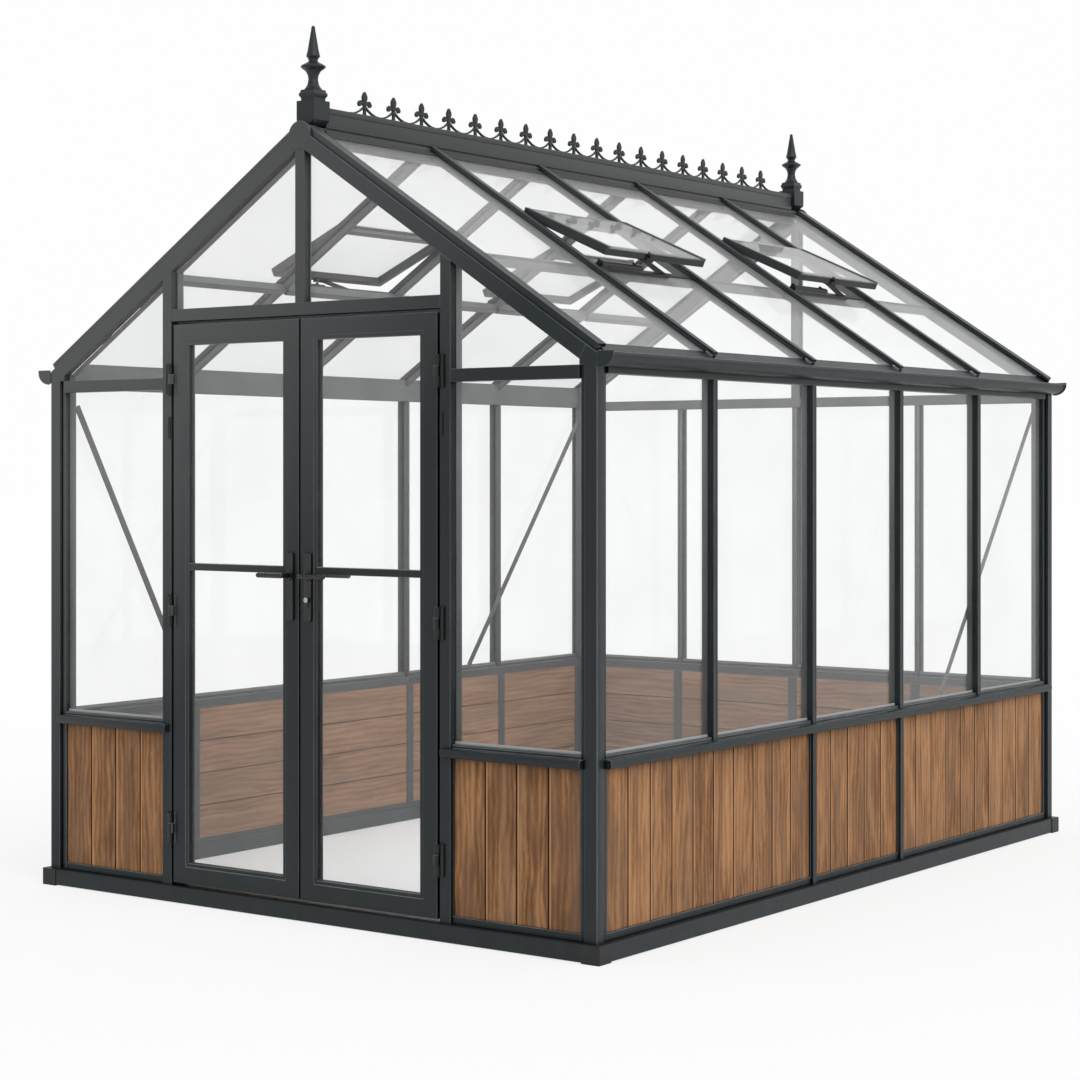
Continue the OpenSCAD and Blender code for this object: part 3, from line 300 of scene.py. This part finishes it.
def powder_coat_group():
    """Baked powder: cloudiness, orange peel, and painted light that makes the coat paler towards the top and the
    left.
    """
    tree, given, made = new_group("powder_coat", {
        "Colour": ("Color", PLAIN),
        "Paler": ("Color", opaque(PAINTED_LIGHT_GREY)),
        "Fading": ("Float", 0.0),
        "Cloudiness": ("Float", 0.2),
        "Roughness": ("Float", 0.4),
    }, {"Colour": "Color", "Roughness": "Float", "Height": "Float"})
    place, parts = object_place(tree)
    # painted light: the coat grows paler with height and towards the left
    height = maths(tree, "MULTIPLY", maths(tree, "MINIMUM", parts["Z"], LIGHTER_TOP), LIGHTER_UP)
    aside = maths(tree, "MULTIPLY", parts["X"], LIGHTER_LEFT)
    lightened = spread(tree, maths(tree, "SUBTRACT", height, aside), LIGHTER_START, LIGHTER_FULL)
    share = maths(tree, "MULTIPLY", lightened, given["Fading"])
    colour = blended(tree, share, given["Colour"], given["Paler"])
    broad = cloud(tree, place, scale=3.5, detail=3.0)
    fine = cloud(tree, place, scale=45.0)
    level = maths(tree, "ADD", maths(tree, "MULTIPLY", broad, 0.7), maths(tree, "MULTIPLY", fine, 0.3))
    gain = maths(tree, "ADD", swung(tree, level, given["Cloudiness"]), 1.0)
    wire(tree, dimmed(tree, colour, gain), made["Colour"])
    wire(tree, maths(tree, "ADD", given["Roughness"], swung(tree, fine, 0.18)), made["Roughness"])
    wire(tree, cloud(tree, place, scale=700.0), made["Height"])
    return tree


def painted_recess_shade_group():
    """Painted shade: darkening, from ambient occlusion, where a surface lies deep between others."""
    tree, given, made = new_group("painted_recess_shade", {
        "Colour": ("Color", PLAIN),
        "Depth": ("Float", 0.02),
        "Darkness": ("Float", 1.0),
    }, {"Colour": "Color"})
    opening = add(tree, "ShaderNodeAmbientOcclusion", samples=6)
    wire(tree, given["Depth"], opening.inputs["Distance"])
    closed = maths(tree, "SUBTRACT", 1.0, spread(tree, opening.outputs["AO"], 0.30, 0.85))
    keep = maths(tree, "SUBTRACT", 1.0, maths(tree, "MULTIPLY", given["Darkness"], closed))
    wire(tree, dimmed(tree, given["Colour"], keep), made["Colour"])
    return tree


def ground_dust_group():
    """Dust and dried splashes that thin out with height above the ground."""
    tree, given, made = new_group("ground_dust", {
        "Colour": ("Color", PLAIN),
        "Dust": ("Color", opaque(DUST)),
        "Reach": ("Float", 0.25),
        "Amount": ("Float", 0.3),
    }, {"Colour": "Color", "Mask": "Float"})
    place, parts = object_place(tree)
    low = maths(tree, "SUBTRACT", 1.0, maths(tree, "DIVIDE", parts["Z"], given["Reach"]), clamp=True)
    patch = spread(tree, cloud(tree, place, scale=22.0, detail=4.0, rough=0.65), 0.42, 0.66)
    mask = maths(tree, "MULTIPLY", maths(tree, "MULTIPLY", low, patch), given["Amount"])
    wire(tree, blended(tree, mask, given["Colour"], given["Dust"]), made["Colour"])
    wire(tree, mask, made["Mask"])
    return tree


def indoor_painted_veil_group():
    """Painted reflection: the coat inside the glass made paler, more so higher up, standing in for the veil of the
    glass in front.
    """
    tree, given, made = new_group("indoor_painted_veil", {
        "Colour": ("Color", PLAIN),
        "Veil": ("Color", opaque(VEIL_GREY)),
        "Amount": ("Float", 0.5),
        "Half Width": ("Float", 1.0),
        "Front": ("Float", -1.0),
        "Back": ("Float", 1.0),
        "Top": ("Float", 2.5),
        "Fall": ("Float", 0.65),
    }, {"Colour": "Color"})
    place, parts = object_place(tree)
    aside = size_of(tree, parts["X"])
    roof = maths(tree, "SUBTRACT", given["Top"], maths(tree, "MULTIPLY", aside, given["Fall"]))
    depth = maths(tree, "SUBTRACT", given["Half Width"], aside)
    depth = maths(tree, "MINIMUM", depth, maths(tree, "SUBTRACT", parts["Y"], given["Front"]))
    depth = maths(tree, "MINIMUM", depth, maths(tree, "SUBTRACT", given["Back"], parts["Y"]))
    depth = maths(tree, "MINIMUM", depth, maths(tree, "SUBTRACT", roof, parts["Z"]))
    inside = spread(tree, depth, -0.001, 0.002)
    patch = spread(tree, cloud(tree, place, scale=6.0, detail=3.0), 0.2, 0.6, to_low=0.75)
    rising = spread(tree, parts["Z"], VEIL_LOW, VEIL_HIGH, to_low=0.58, to_high=1.75)
    mask = maths(tree, "MULTIPLY", inside, maths(tree, "MULTIPLY", patch, rising))
    mask = maths(tree, "MULTIPLY", mask, given["Amount"], clamp=True)
    wire(tree, blended(tree, mask, given["Colour"], given["Veil"]), made["Colour"])
    return tree


def wood_grain_group():
    """Sawn and oiled board: long figure, streaks and fibres that run along the board."""
    tree, given, made = new_group("wood_grain", {
        "Place": ("Vector", (0, 0, 0)),
        "Tone": ("Float", 0.0),
        "Dark": ("Color", (0.1, 0.05, 0.03, 1)),
        "Middle": ("Color", (0.25, 0.12, 0.05, 1)),
        "Pale": ("Color", (0.4, 0.2, 0.1, 1)),
        "Grey": ("Color", (0.15, 0.10, 0.08, 1)),
    }, {"Colour": "Color", "Roughness": "Float", "Height": "Float"})
    place = given["Place"]
    figure = cloud(tree, stretched(tree, place, FIGURE), detail=3.0, twist=0.9)
    streaks = cloud(tree, stretched(tree, place, STREAKS), detail=4.0, rough=0.6, twist=0.4)
    fibres = cloud(tree, stretched(tree, place, FIBRES), detail=3.0, rough=0.6)
    rings = add(tree, "ShaderNodeTexWave", Scale=6.0, Distortion=9.0, Detail=3.0, Detail_Scale=1.1)
    wire(tree, stretched(tree, place, RINGS), rings.inputs["Vector"])
    streaked = maths(tree, "MULTIPLY", streaks, 0.20)
    level = maths(tree, "ADD", maths(tree, "MULTIPLY", figure, 0.80), streaked)
    level = maths(tree, "ADD", level, swung(tree, fibres, 0.26))
    level = maths(tree, "ADD", level, swung(tree, rings.outputs["Fac"], 0.16))
    level = maths(tree, "ADD", level, given["Tone"])
    lower = blended(tree, spread(tree, level, 0.26, 0.50), given["Dark"], given["Middle"])
    full = blended(tree, spread(tree, level, 0.46, 0.72), lower, given["Pale"])
    bands = cloud(tree, stretched(tree, place, WEATHER), detail=4.0, rough=0.6)
    weathered = spread(tree, bands, 0.46, 0.64, to_high=0.7)
    wire(tree, blended(tree, weathered, full, given["Grey"]), made["Colour"])
    wire(tree, spread(tree, level, 0.3, 0.7, to_low=0.68, to_high=0.52), made["Roughness"])
    wire(tree, maths(tree, "ADD", fibres, maths(tree, "MULTIPLY", streaks, 0.5)), made["Height"])
    return tree


POWDER_COAT = powder_coat_group()
PAINTED_RECESS_SHADE = painted_recess_shade_group()
GROUND_DUST = ground_dust_group()
INDOOR_PAINTED_VEIL = indoor_painted_veil_group()
WOOD_GRAIN = wood_grain_group()

# ---------- materials ----------


def surfaced(tree, out, colour, rough, gloss):
    """The Principled shader of a finish, wired to the material's output."""
    shader = add(tree, "ShaderNodeBsdfPrincipled")
    shader.inputs["Specular IOR Level"].default_value = gloss
    wire(tree, colour, shader.inputs["Base Color"])
    wire(tree, rough, shader.inputs["Roughness"])
    wire(tree, shader.outputs[0], out.inputs[0])
    return shader


def roughened(tree, shader, height, strength, depth):
    """A fine relief on a shader."""
    bump = add(tree, "ShaderNodeBump", Strength=strength, Distance=depth)
    wire(tree, height, bump.inputs["Height"])
    wire(tree, bump.outputs[0], shader.inputs["Normal"])


def coated(name, colour, rough=0.40, cloudiness=0.25, darkness=0.85, depth=0.02, dust=0.04, gloss=0.4,
           painted_veil=0.55, painted_lightening=0.0):
    """Powder-coated metal with painted shade in its recesses, a painted reflection as a pale veil inside the glass
    and a little dust near the ground.
    """
    mat, tree, out = new_material(name)
    coat = use_group(tree, POWDER_COAT, Colour=opaque(colour), Cloudiness=cloudiness, Roughness=rough,
                     Fading=painted_lightening)
    # painted shade in the recesses
    deep = use_group(tree, PAINTED_RECESS_SHADE, Depth=depth, Darkness=darkness)
    dusty = use_group(tree, GROUND_DUST, Amount=dust)
    # painted reflection of the glass, as a pale veil on the coat inside it
    veiled = use_group(tree, INDOOR_PAINTED_VEIL, Amount=painted_veil, Half_Width=ROOM_X, Front=ROOM_FRONT,
                        Back=ROOM_BACK, Top=ROOM_TOP, Fall=ROOF_FALL)
    wire(tree, coat.outputs["Colour"], deep.inputs["Colour"])
    wire(tree, deep.outputs["Colour"], veiled.inputs["Colour"])
    wire(tree, veiled.outputs["Colour"], dusty.inputs["Colour"])
    softer = maths(tree, "MULTIPLY", dusty.outputs["Mask"], 0.6)
    dulled = maths(tree, "ADD", coat.outputs["Roughness"], softer, clamp=True)
    shader = surfaced(tree, out, dusty.outputs["Colour"], dulled, gloss)
    roughened(tree, shader, coat.outputs["Height"], strength=0.08, depth=0.0004)
    return mat


def wooden(name, dark, middle, pale, grey, slit, edge=0.0):
    """Oiled boards, with the grain laid by each board's own place and tone, and a painted highlight along one edge
    past the joint.
    """
    mat, tree, out = new_material(name)
    laid = add(tree, "ShaderNodeAttribute", attribute_name="grain_at")
    tone = add(tree, "ShaderNodeAttribute", attribute_name="board_tone")
    past = add(tree, "ShaderNodeAttribute", attribute_name="past_joint")
    ahead = add(tree, "ShaderNodeAttribute", attribute_name="to_next_joint")
    wood = use_group(tree, WOOD_GRAIN, Dark=opaque(dark), Middle=opaque(middle), Pale=opaque(pale),
                     Grey=opaque(grey))
    wire(tree, laid.outputs["Vector"], wood.inputs["Place"])
    wire(tree, tone.outputs["Fac"], wood.inputs["Tone"])
    # painted highlight on the flank just past each joint
    flank_highlight = spread(tree, past.outputs["Fac"], *LIT_FLANK, to_low=edge, to_high=0.0)
    lightest = opaque([part * 1.25 for part in pale])
    lighter = blended(tree, flank_highlight, wood.outputs["Colour"], lightest)
    nearest = maths(tree, "MINIMUM", past.outputs["Fac"], ahead.outputs["Fac"])
    joint = spread(tree, nearest, slit * 0.7, slit * 1.3, to_low=1.0, to_high=0.0)
    # painted shade in the recesses between and beside the boards
    deep = use_group(tree, PAINTED_RECESS_SHADE, Depth=0.03, Darkness=0.75)
    wire(tree, blended(tree, joint, lighter, opaque(JOINT_BROWN)), deep.inputs["Colour"])
    dusty = use_group(tree, GROUND_DUST, Amount=0.12, Reach=0.22)
    wire(tree, deep.outputs["Colour"], dusty.inputs["Colour"])
    shader = surfaced(tree, out, dusty.outputs["Colour"], wood.outputs["Roughness"], gloss=0.15)
    roughened(tree, shader, wood.outputs["Height"], strength=0.25, depth=0.0010)
    return mat


def glazed(name, tint, clearness, rough, dirt, ior, film=0.0):
    """Flat glass with a little haze, which lets the lamps through to what stands behind it."""
    mat, tree, out = new_material(name)
    place = tree.nodes.new("ShaderNodeTexCoord").outputs["Object"]
    haze = cloud(tree, place, scale=2.6, detail=4.0, rough=0.6)
    smear = spread(tree, haze, 0.35, 0.7)
    soiled = opaque([part * (1 - dirt) for part in tint])
    shader = add(tree, "ShaderNodeBsdfPrincipled", IOR=ior)
    shader.inputs["Transmission Weight"].default_value = clearness
    shader.inputs["Coat Weight"].default_value = film
    shader.inputs["Coat Roughness"].default_value = 0.5
    wire(tree, blended(tree, smear, opaque(tint), soiled), shader.inputs["Base Color"])
    blur = spread(tree, haze, 0.3, 0.75, to_low=rough * 0.5, to_high=rough * 1.5)
    wire(tree, blur, shader.inputs["Roughness"])
    clear = add(tree, "ShaderNodeBsdfTransparent", Color=opaque(GLASS_SHADOW))
    wire(tree, mixed(tree, any_ray(tree, "Is Shadow Ray"), shader, clear).outputs[0], out.inputs[0])
    return mat


def painted_edge_highlight(name, colour, pale, rough=0.35):
    """The rounded edges of a coated profile with a painted highlight: paler where they face up, in patches."""
    mat, tree, out = new_material(name)
    coat = use_group(tree, POWDER_COAT, Colour=opaque(colour), Cloudiness=0.25, Roughness=rough)
    turned = tree.nodes.new("ShaderNodeSeparateXYZ")
    wire(tree, tree.nodes.new("ShaderNodeNewGeometry").outputs["Normal"], turned.inputs[0])
    # painted highlight: paler where the edge faces up
    upward = spread(tree, turned.outputs["Z"], -0.1, 0.75, to_low=0.25, to_high=1.0)
    place = tree.nodes.new("ShaderNodeTexCoord").outputs["Object"]
    edge_highlight = spread(tree, cloud(tree, place, scale=9.0, detail=4.0, rough=0.6), 0.3, 0.62, to_low=0.45)
    share = maths(tree, "MULTIPLY", upward, edge_highlight)
    highlighted = blended(tree, share, coat.outputs["Colour"], opaque(pale))
    surfaced(tree, out, highlighted, coat.outputs["Roughness"], gloss=0.5)
    return mat


WALL_GLASS = glazed("wall_glass", WALL_TINT, clearness=0.985, rough=0.0, dirt=0.03, ior=1.25)
ROOF_GLASS = glazed("roof_glass", ROOF_TINT, clearness=0.97, rough=0.01, dirt=0.03, ior=1.04, film=0.9)
finishes = {
    "frame": coated("graphite_coat", GRAPHITE, gloss=0.28, painted_lightening=1.0),
    "doors": coated("door_coat", DOOR_GRAPHITE, gloss=0.32, painted_lightening=1.0),
    "castings": coated("casting_coat", CAST_BLACK, rough=0.5, cloudiness=0.5),
    "cresting": coated("cresting_coat", GRAPHITE, rough=0.42, cloudiness=0.4, darkness=0.5, depth=0.01),
    "hinges": coated("hinge_black", SATIN_BLACK, rough=0.32, cloudiness=0.2, darkness=0.5),
    "handles": coated("handle_black", SATIN_BLACK, rough=0.28, cloudiness=0.2, darkness=0.5, gloss=0.5),
    "opener": coated("opener_black", SATIN_BLACK, rough=0.38, cloudiness=0.2),
    "glass": WALL_GLASS,
    "boards": wooden("oiled_boards", dark=(0.140, 0.065, 0.029), middle=(0.280, 0.136, 0.058),
                     pale=(0.425, 0.219, 0.100), grey=(0.175, 0.100, 0.060), slit=0.0032, edge=0.75),
    "lining": wooden("oiled_lining", dark=(0.195, 0.114, 0.071), middle=(0.285, 0.166, 0.105),
                     pale=(0.370, 0.221, 0.139), grey=(0.225, 0.148, 0.103), slit=0.0012),
}
# the eased edges of the frame and doors take a painted highlight
EDGE_HIGHLIGHT_COAT = painted_edge_highlight("eased_edge_painted_highlight", GRAPHITE, EDGE_HIGHLIGHT_GREY)
PALE_SEAL = coated("pale_glazing_seal", SEAL_GREY, rough=0.5, cloudiness=0.1, darkness=0.2, dust=0.1)
LOCK_STEEL = coated("lock_steel", STEEL, rough=0.3, cloudiness=0.15, darkness=0.3, dust=0.0, gloss=0.8)

for name, packed in PACKED.items():
    finish = finishes[SLOT_OF[name]]
    if name in ("right_roof_glass", "left_roof_glass", "vent_glass"):
        finish = ROOF_GLASS
    for held in packed.material_slots:
        held.material = finish

# ---------- pieces ----------


def welded(name):
    """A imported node's mesh with its corners joined and its flat faces whole."""
    mesh = bmesh.new()
    mesh.from_mesh(PACKED[name].data)
    bmesh.ops.remove_doubles(mesh, verts=mesh.verts, dist=WELD)
    bmesh.ops.dissolve_limit(mesh, angle_limit=math.radians(0.5), verts=mesh.verts, edges=mesh.edges)
    return mesh


def add_piece(name, mesh, body, material):
    """A new piece from a finished mesh, riding on a body."""
    data = bpy.data.meshes.new(name)
    mesh.to_mesh(data)
    mesh.free()
    data.materials.append(material)
    piece = bpy.data.objects.new(name, data)
    bpy.context.scene.collection.objects.link(piece)
    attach(piece, body)
    return piece


def shade(piece, crease=CREASE):
    """Smooth over gentle edges and sharp over the others."""
    for face in piece.data.polygons:
        face.use_smooth = True
    piece.data.set_sharp_from_angle(angle=math.radians(crease))


def ease(piece, width, steps=1, material=None):
    """The long edges of a profile take a small rounding that catches the light."""
    cut = piece.modifiers.new("eased_edges", "BEVEL")
    cut.width = width
    cut.segments = steps
    cut.limit_method = "ANGLE"
    cut.angle_limit = math.radians(CREASE)
    cut.use_clamp_overlap = False
    cut.harden_normals = True
    # the rounding may take its own material, which is the painted edge highlight
    if material is not None:
        piece.data.materials.append(material)
        cut.material = 1


def eased_profile(name, width, steps, edge_highlight=None):
    """A packed profile again, with eased edges that may carry a painted highlight."""
    piece = add_piece(name + "_eased", welded(name), BODY_OF[name], finishes[SLOT_OF[name]])
    shade(piece)
    ease(piece, width, steps, edge_highlight)
    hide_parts(name)


def block(mesh, low, high):
    """A box between two corners, added to a mesh."""
    corners = [mesh.verts.new((x, y, z)) for x in (low[0], high[0]) for y in (low[1], high[1])
               for z in (low[2], high[2])]
    for ring in ((0, 1, 3, 2), (4, 6, 7, 5), (0, 4, 5, 1), (2, 3, 7, 6), (0, 2, 6, 4), (1, 5, 7, 3)):
        mesh.faces.new([corners[k] for k in ring])


def islands(mesh):
    """The separate solids of a mesh, each as a list of its vertices."""
    left = set(mesh.verts)
    found = []
    while left:
        start = left.pop()
        group = [start]
        for vert in group:
            for edge in vert.link_edges:
                other = edge.other_vert(vert)
                if other in left:
                    left.remove(other)
                    group.append(other)
        found.append(group)
    return sorted(found, key=lambda group: [round(min(v.co[k] for v in group), 4) for k in range(3)])


def extent(group):
    """The lowest and highest corner round some vertices."""
    low = Vector([min(v.co[k] for v in group) for k in range(3)])
    high = Vector([max(v.co[k] for v in group) for k in range(3)])
    return low, high


def plate(mesh, low, high, axis, face, outward, proud):
    """A thin block in front of a face, sunk a little into it."""
    low[axis], high[axis] = sorted((face - outward * SUNK, face + outward * proud))
    block(mesh, low, high)


def board_run(name, upright, seed):
    """A wall's boards with the grain of each laid along it, its own tone, and dark joints."""
    mesh = welded(name)
    low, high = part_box(name)
    along_wall = 0 if high[0] - low[0] > high[1] - low[1] else 1
    through = 1 - along_wall
    across = along_wall if upright else 2
    lengthwise = 2 if upright else along_wall
    laid = mesh.loops.layers.float_vector.new("grain_at")
    tone = mesh.loops.layers.float.new("board_tone")
    past = mesh.loops.layers.float.new("past_joint")
    ahead = mesh.loops.layers.float.new("to_next_joint")
    deep = [v.co for v in mesh.verts if low[through] + SKIN < v.co[through] < high[through] - SKIN]
    joints = sorted({round(spot[across], 4) for spot in deep})
    chance = random.Random(seed)
    # painted shade on the gable boards
    shift = GABLE_SHADE if upright and along_wall == 0 else 0.0
    tones = [shift + chance.uniform(-TONE_SWING, TONE_SWING) for _ in range(len(joints) + 1)]
    ends = [low[across] - 1.0] + joints + [high[across] + 1.0]  # the outer boards have one joint each
    for face in mesh.faces:
        number = bisect.bisect(joints, face.calc_center_median()[across])
        for corner in face.loops:
            spot = corner.vert.co
            corner[laid] = Vector((spot[across], GRAIN_STEP * number + seed, spot[lengthwise]))
            corner[tone] = tones[number]
            corner[past] = spot[across] - ends[number]
            corner[ahead] = ends[number + 1] - spot[across]
    piece = add_piece(name + "_grained", mesh, "building", finishes[SLOT_OF[name]])
    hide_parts(name)


def glazing_seals():
    """Pale seal strips that show above the bottom bead of each wall pane."""
    mesh = bmesh.new()
    for name in ("front_glass", "back_glass", "right_glass", "left_glass"):
        panes = welded(name)
        for low, high in map(extent, islands(panes)):
            if low.z > LOW_PANE:
                continue
            thin = 0 if high.x - low.x < high.y - low.y else 1
            outward = 1 if (low[thin] + high[thin]) > 0 else -1
            face = high[thin] if outward > 0 else low[thin]
            bead_top = low.z + BEAD
            low.z, high.z = bead_top - SEAL_TUCK, bead_top + SEAL_BAND
            plate(mesh, low, high, thin, face, outward, SEAL_PROUD)
        panes.free()
    piece = add_piece("wall_glazing_seals", mesh, "building", PALE_SEAL)
    ease(piece, SEAL_EASE)


def bar_places(name, along):
    """Where a wall's glazing bars stand along it."""
    bars = welded(name)
    places = [(low[along] + high[along]) / 2 for low, high in map(extent, islands(bars))]
    bars.free()
    return places


def lining_strips():
    """Flat cover strips over the lining, in line with the wall bars and in the corners."""
    mesh = bmesh.new()
    for side in ("front", "back", "right", "left"):
        low, high = (Vector(corner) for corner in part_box(side + "_lining"))
        along = 0 if side in ("front", "back") else 1
        through = 1 - along
        inward = -1 if low[through] + high[through] > 0 else 1
        face = low[through] if inward < 0 else high[through]
        places = [low[along] + STRIP_WIDE / 2, high[along] - STRIP_WIDE / 2]
        if side != "front":
            places += bar_places(side + "_bars", along)
        for place in places:
            start, end = low.copy(), high.copy()
            start[along], end[along] = place - STRIP_WIDE / 2, place + STRIP_WIDE / 2
            plate(mesh, start, end, through, face, inward, STRIP_THICK)
    piece = add_piece("lining_cover_strips", mesh, "building", finishes["frame"])
    ease(piece, STRIP_EASE)


def lock_cylinder():
    """Round lock cylinder with a raised rim, under the right-hand lever."""
    spindle = next(joint["pos_m"] for joint in frame["joints"] if joint["name"] == "right_lever_turn")
    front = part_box("right_plates")[0][1]
    centre = Vector((spindle[0], front, spindle[2] - CYLINDER_DROP))
    mesh = bmesh.new()
    rims = []
    # radius and place along Y of each rim, from the plate outwards and in over the dished face
    profile = ((0.0085, 0.0), (0.0085, -0.0012), (0.0070, -0.0020), (0.0068, -0.0012), (0.0012, -0.0012))
    for radius, y in profile:
        rim = []
        for step in range(CYLINDER_STEPS):
            turn = 2 * math.pi * step / CYLINDER_STEPS
            spot = Vector((radius * math.cos(turn), y, radius * math.sin(turn)))
            rim.append(mesh.verts.new(centre + spot))
        rims.append(rim)
    for inner, outer in zip(rims[1:], rims):
        for step in range(CYLINDER_STEPS):
            after = (step + 1) % CYLINDER_STEPS
            mesh.faces.new((outer[step], outer[after], inner[after], inner[step]))
    mesh.faces.new(list(reversed(rims[0])))
    mesh.faces.new(rims[-1])
    bmesh.ops.recalc_face_normals(mesh, faces=mesh.faces)
    piece = add_piece("lock_cylinder", mesh, "right_leaf", LOCK_STEEL)
    shade(piece, crease=30)


for name, slot in SLOT_OF.items():
    if slot == "castings" or name == "ridge_cover":
        eased_profile(name, EASE, steps=2)
    elif slot in ("frame", "doors"):
        eased_profile(name, EASE, steps=2, edge_highlight=EDGE_HIGHLIGHT_COAT)
    elif slot in ("hinges", "handles"):
        eased_profile(name, FINE_EASE, steps=1)
for number, side in enumerate(("front", "back", "right", "left")):
    board_run(side + "_boards", True, BOARD_SEED + number)
    board_run(side + "_lining", False, LINING_SEED + number)
glazing_seals()
lining_strips()
lock_cylinder()

# ---------- stage ----------


def studio_floor():
    """Pale floor that takes a soft shadow and runs into the backdrop."""
    bpy.ops.mesh.primitive_plane_add(size=FLOOR_WIDE)
    floor = bpy.context.object
    floor.name = "studio_floor"
    mat, tree, out = new_material("studio_white")
    lit = add(tree, "ShaderNodeBsdfDiffuse", Color=FLOOR_WHITE)
    glow = add(tree, "ShaderNodeEmission", Color=WHITE, Strength=1.0)
    seen = any_ray(tree, "Is Camera Ray", "Is Glossy Ray", "Is Transmission Ray")
    # under the building the floor is shaded, so it glows less there
    parts = object_place(tree)[1]
    past_x = maths(tree, "SUBTRACT", size_of(tree, parts["X"]), ROOM_X)
    past_y = maths(tree, "SUBTRACT", size_of(tree, parts["Y"]), ROOM_BACK)
    outside = maths(tree, "MAXIMUM", past_x, past_y)
    glowing = spread(tree, outside, -SOFT_EDGE, 0.0, to_low=ROOM_GLOW, to_high=FLOOR_GLOW)
    share = maths(tree, "MULTIPLY", seen, glowing)
    wire(tree, mixed(tree, share, lit, glow).outputs[0], out.inputs[0])
    floor.data.materials.append(mat)


def studio_light():
    """Even white light from all round, seen as plain white."""
    world = bpy.data.worlds.new("studio_light")
    bpy.context.scene.world = world
    world.use_nodes = True
    tree = world.node_tree
    tree.nodes.clear()
    out = tree.nodes.new("ShaderNodeOutputWorld")
    soft = add(tree, "ShaderNodeBackground", Color=WHITE, Strength=SOFT_LIGHT)
    plain = add(tree, "ShaderNodeBackground", Color=WHITE, Strength=SEEN_WHITE)
    direct = mixed(tree, any_ray(tree, "Is Camera Ray", "Is Transmission Ray"), soft, plain)
    # in reflections the room is brighter on the far right and dimmer on the near left
    towards = add(tree, "ShaderNodeVectorMath", operation="DOT_PRODUCT")
    wire(tree, tree.nodes.new("ShaderNodeTexCoord").outputs["Generated"], towards.inputs[0])
    towards.inputs[1].default_value = BRIGHT_SIDE
    mirrored = add(tree, "ShaderNodeBackground", Color=WHITE)
    level = spread(tree, towards.outputs["Value"], -1.0, 1.0, to_low=MIRROR_DIM, to_high=MIRROR_BRIGHT)
    wire(tree, level, mirrored.inputs["Strength"])
    # rays that went straight through glass also count as glossy, and they keep the plain white
    bounced = maths(tree, "SUBTRACT", 1.0, any_ray(tree, "Is Transmission Ray"))
    glossy = maths(tree, "MULTIPLY", any_ray(tree, "Is Glossy Ray"), bounced)
    wire(tree, mixed(tree, glossy, direct, mirrored).outputs[0], out.inputs[0])


def sun(name, from_where, strength, spread_deg):
    """A broad soft lamp from one side."""
    data = bpy.data.lights.new(name, "SUN")
    data.energy = strength
    data.angle = math.radians(spread_deg)
    lit = bpy.data.objects.new(name, data)
    bpy.context.scene.collection.objects.link(lit)
    lit.location = from_where
    lit.rotation_euler = (-Vector(from_where)).to_track_quat("-Z", "Y").to_euler()


def camera():
    """A level camera at the front right, a little under the eaves."""
    data = bpy.data.cameras.new("camera")
    data.lens = CAMERA_LENS
    data.sensor_width = CAMERA_SENSOR
    data.shift_y = CAMERA_SHIFT
    cam = bpy.data.objects.new("camera", data)
    bpy.context.scene.collection.objects.link(cam)
    cam.location = CAMERA_AT
    cam.rotation_euler = (math.radians(90), 0, math.radians(CAMERA_TURN))
    bpy.context.scene.camera = cam


studio_floor()
studio_light()
sun("key_light", KEY_FROM, KEY_STRENGTH, KEY_SPREAD)
camera()
bpy.context.scene.view_settings.view_transform = "Standard"
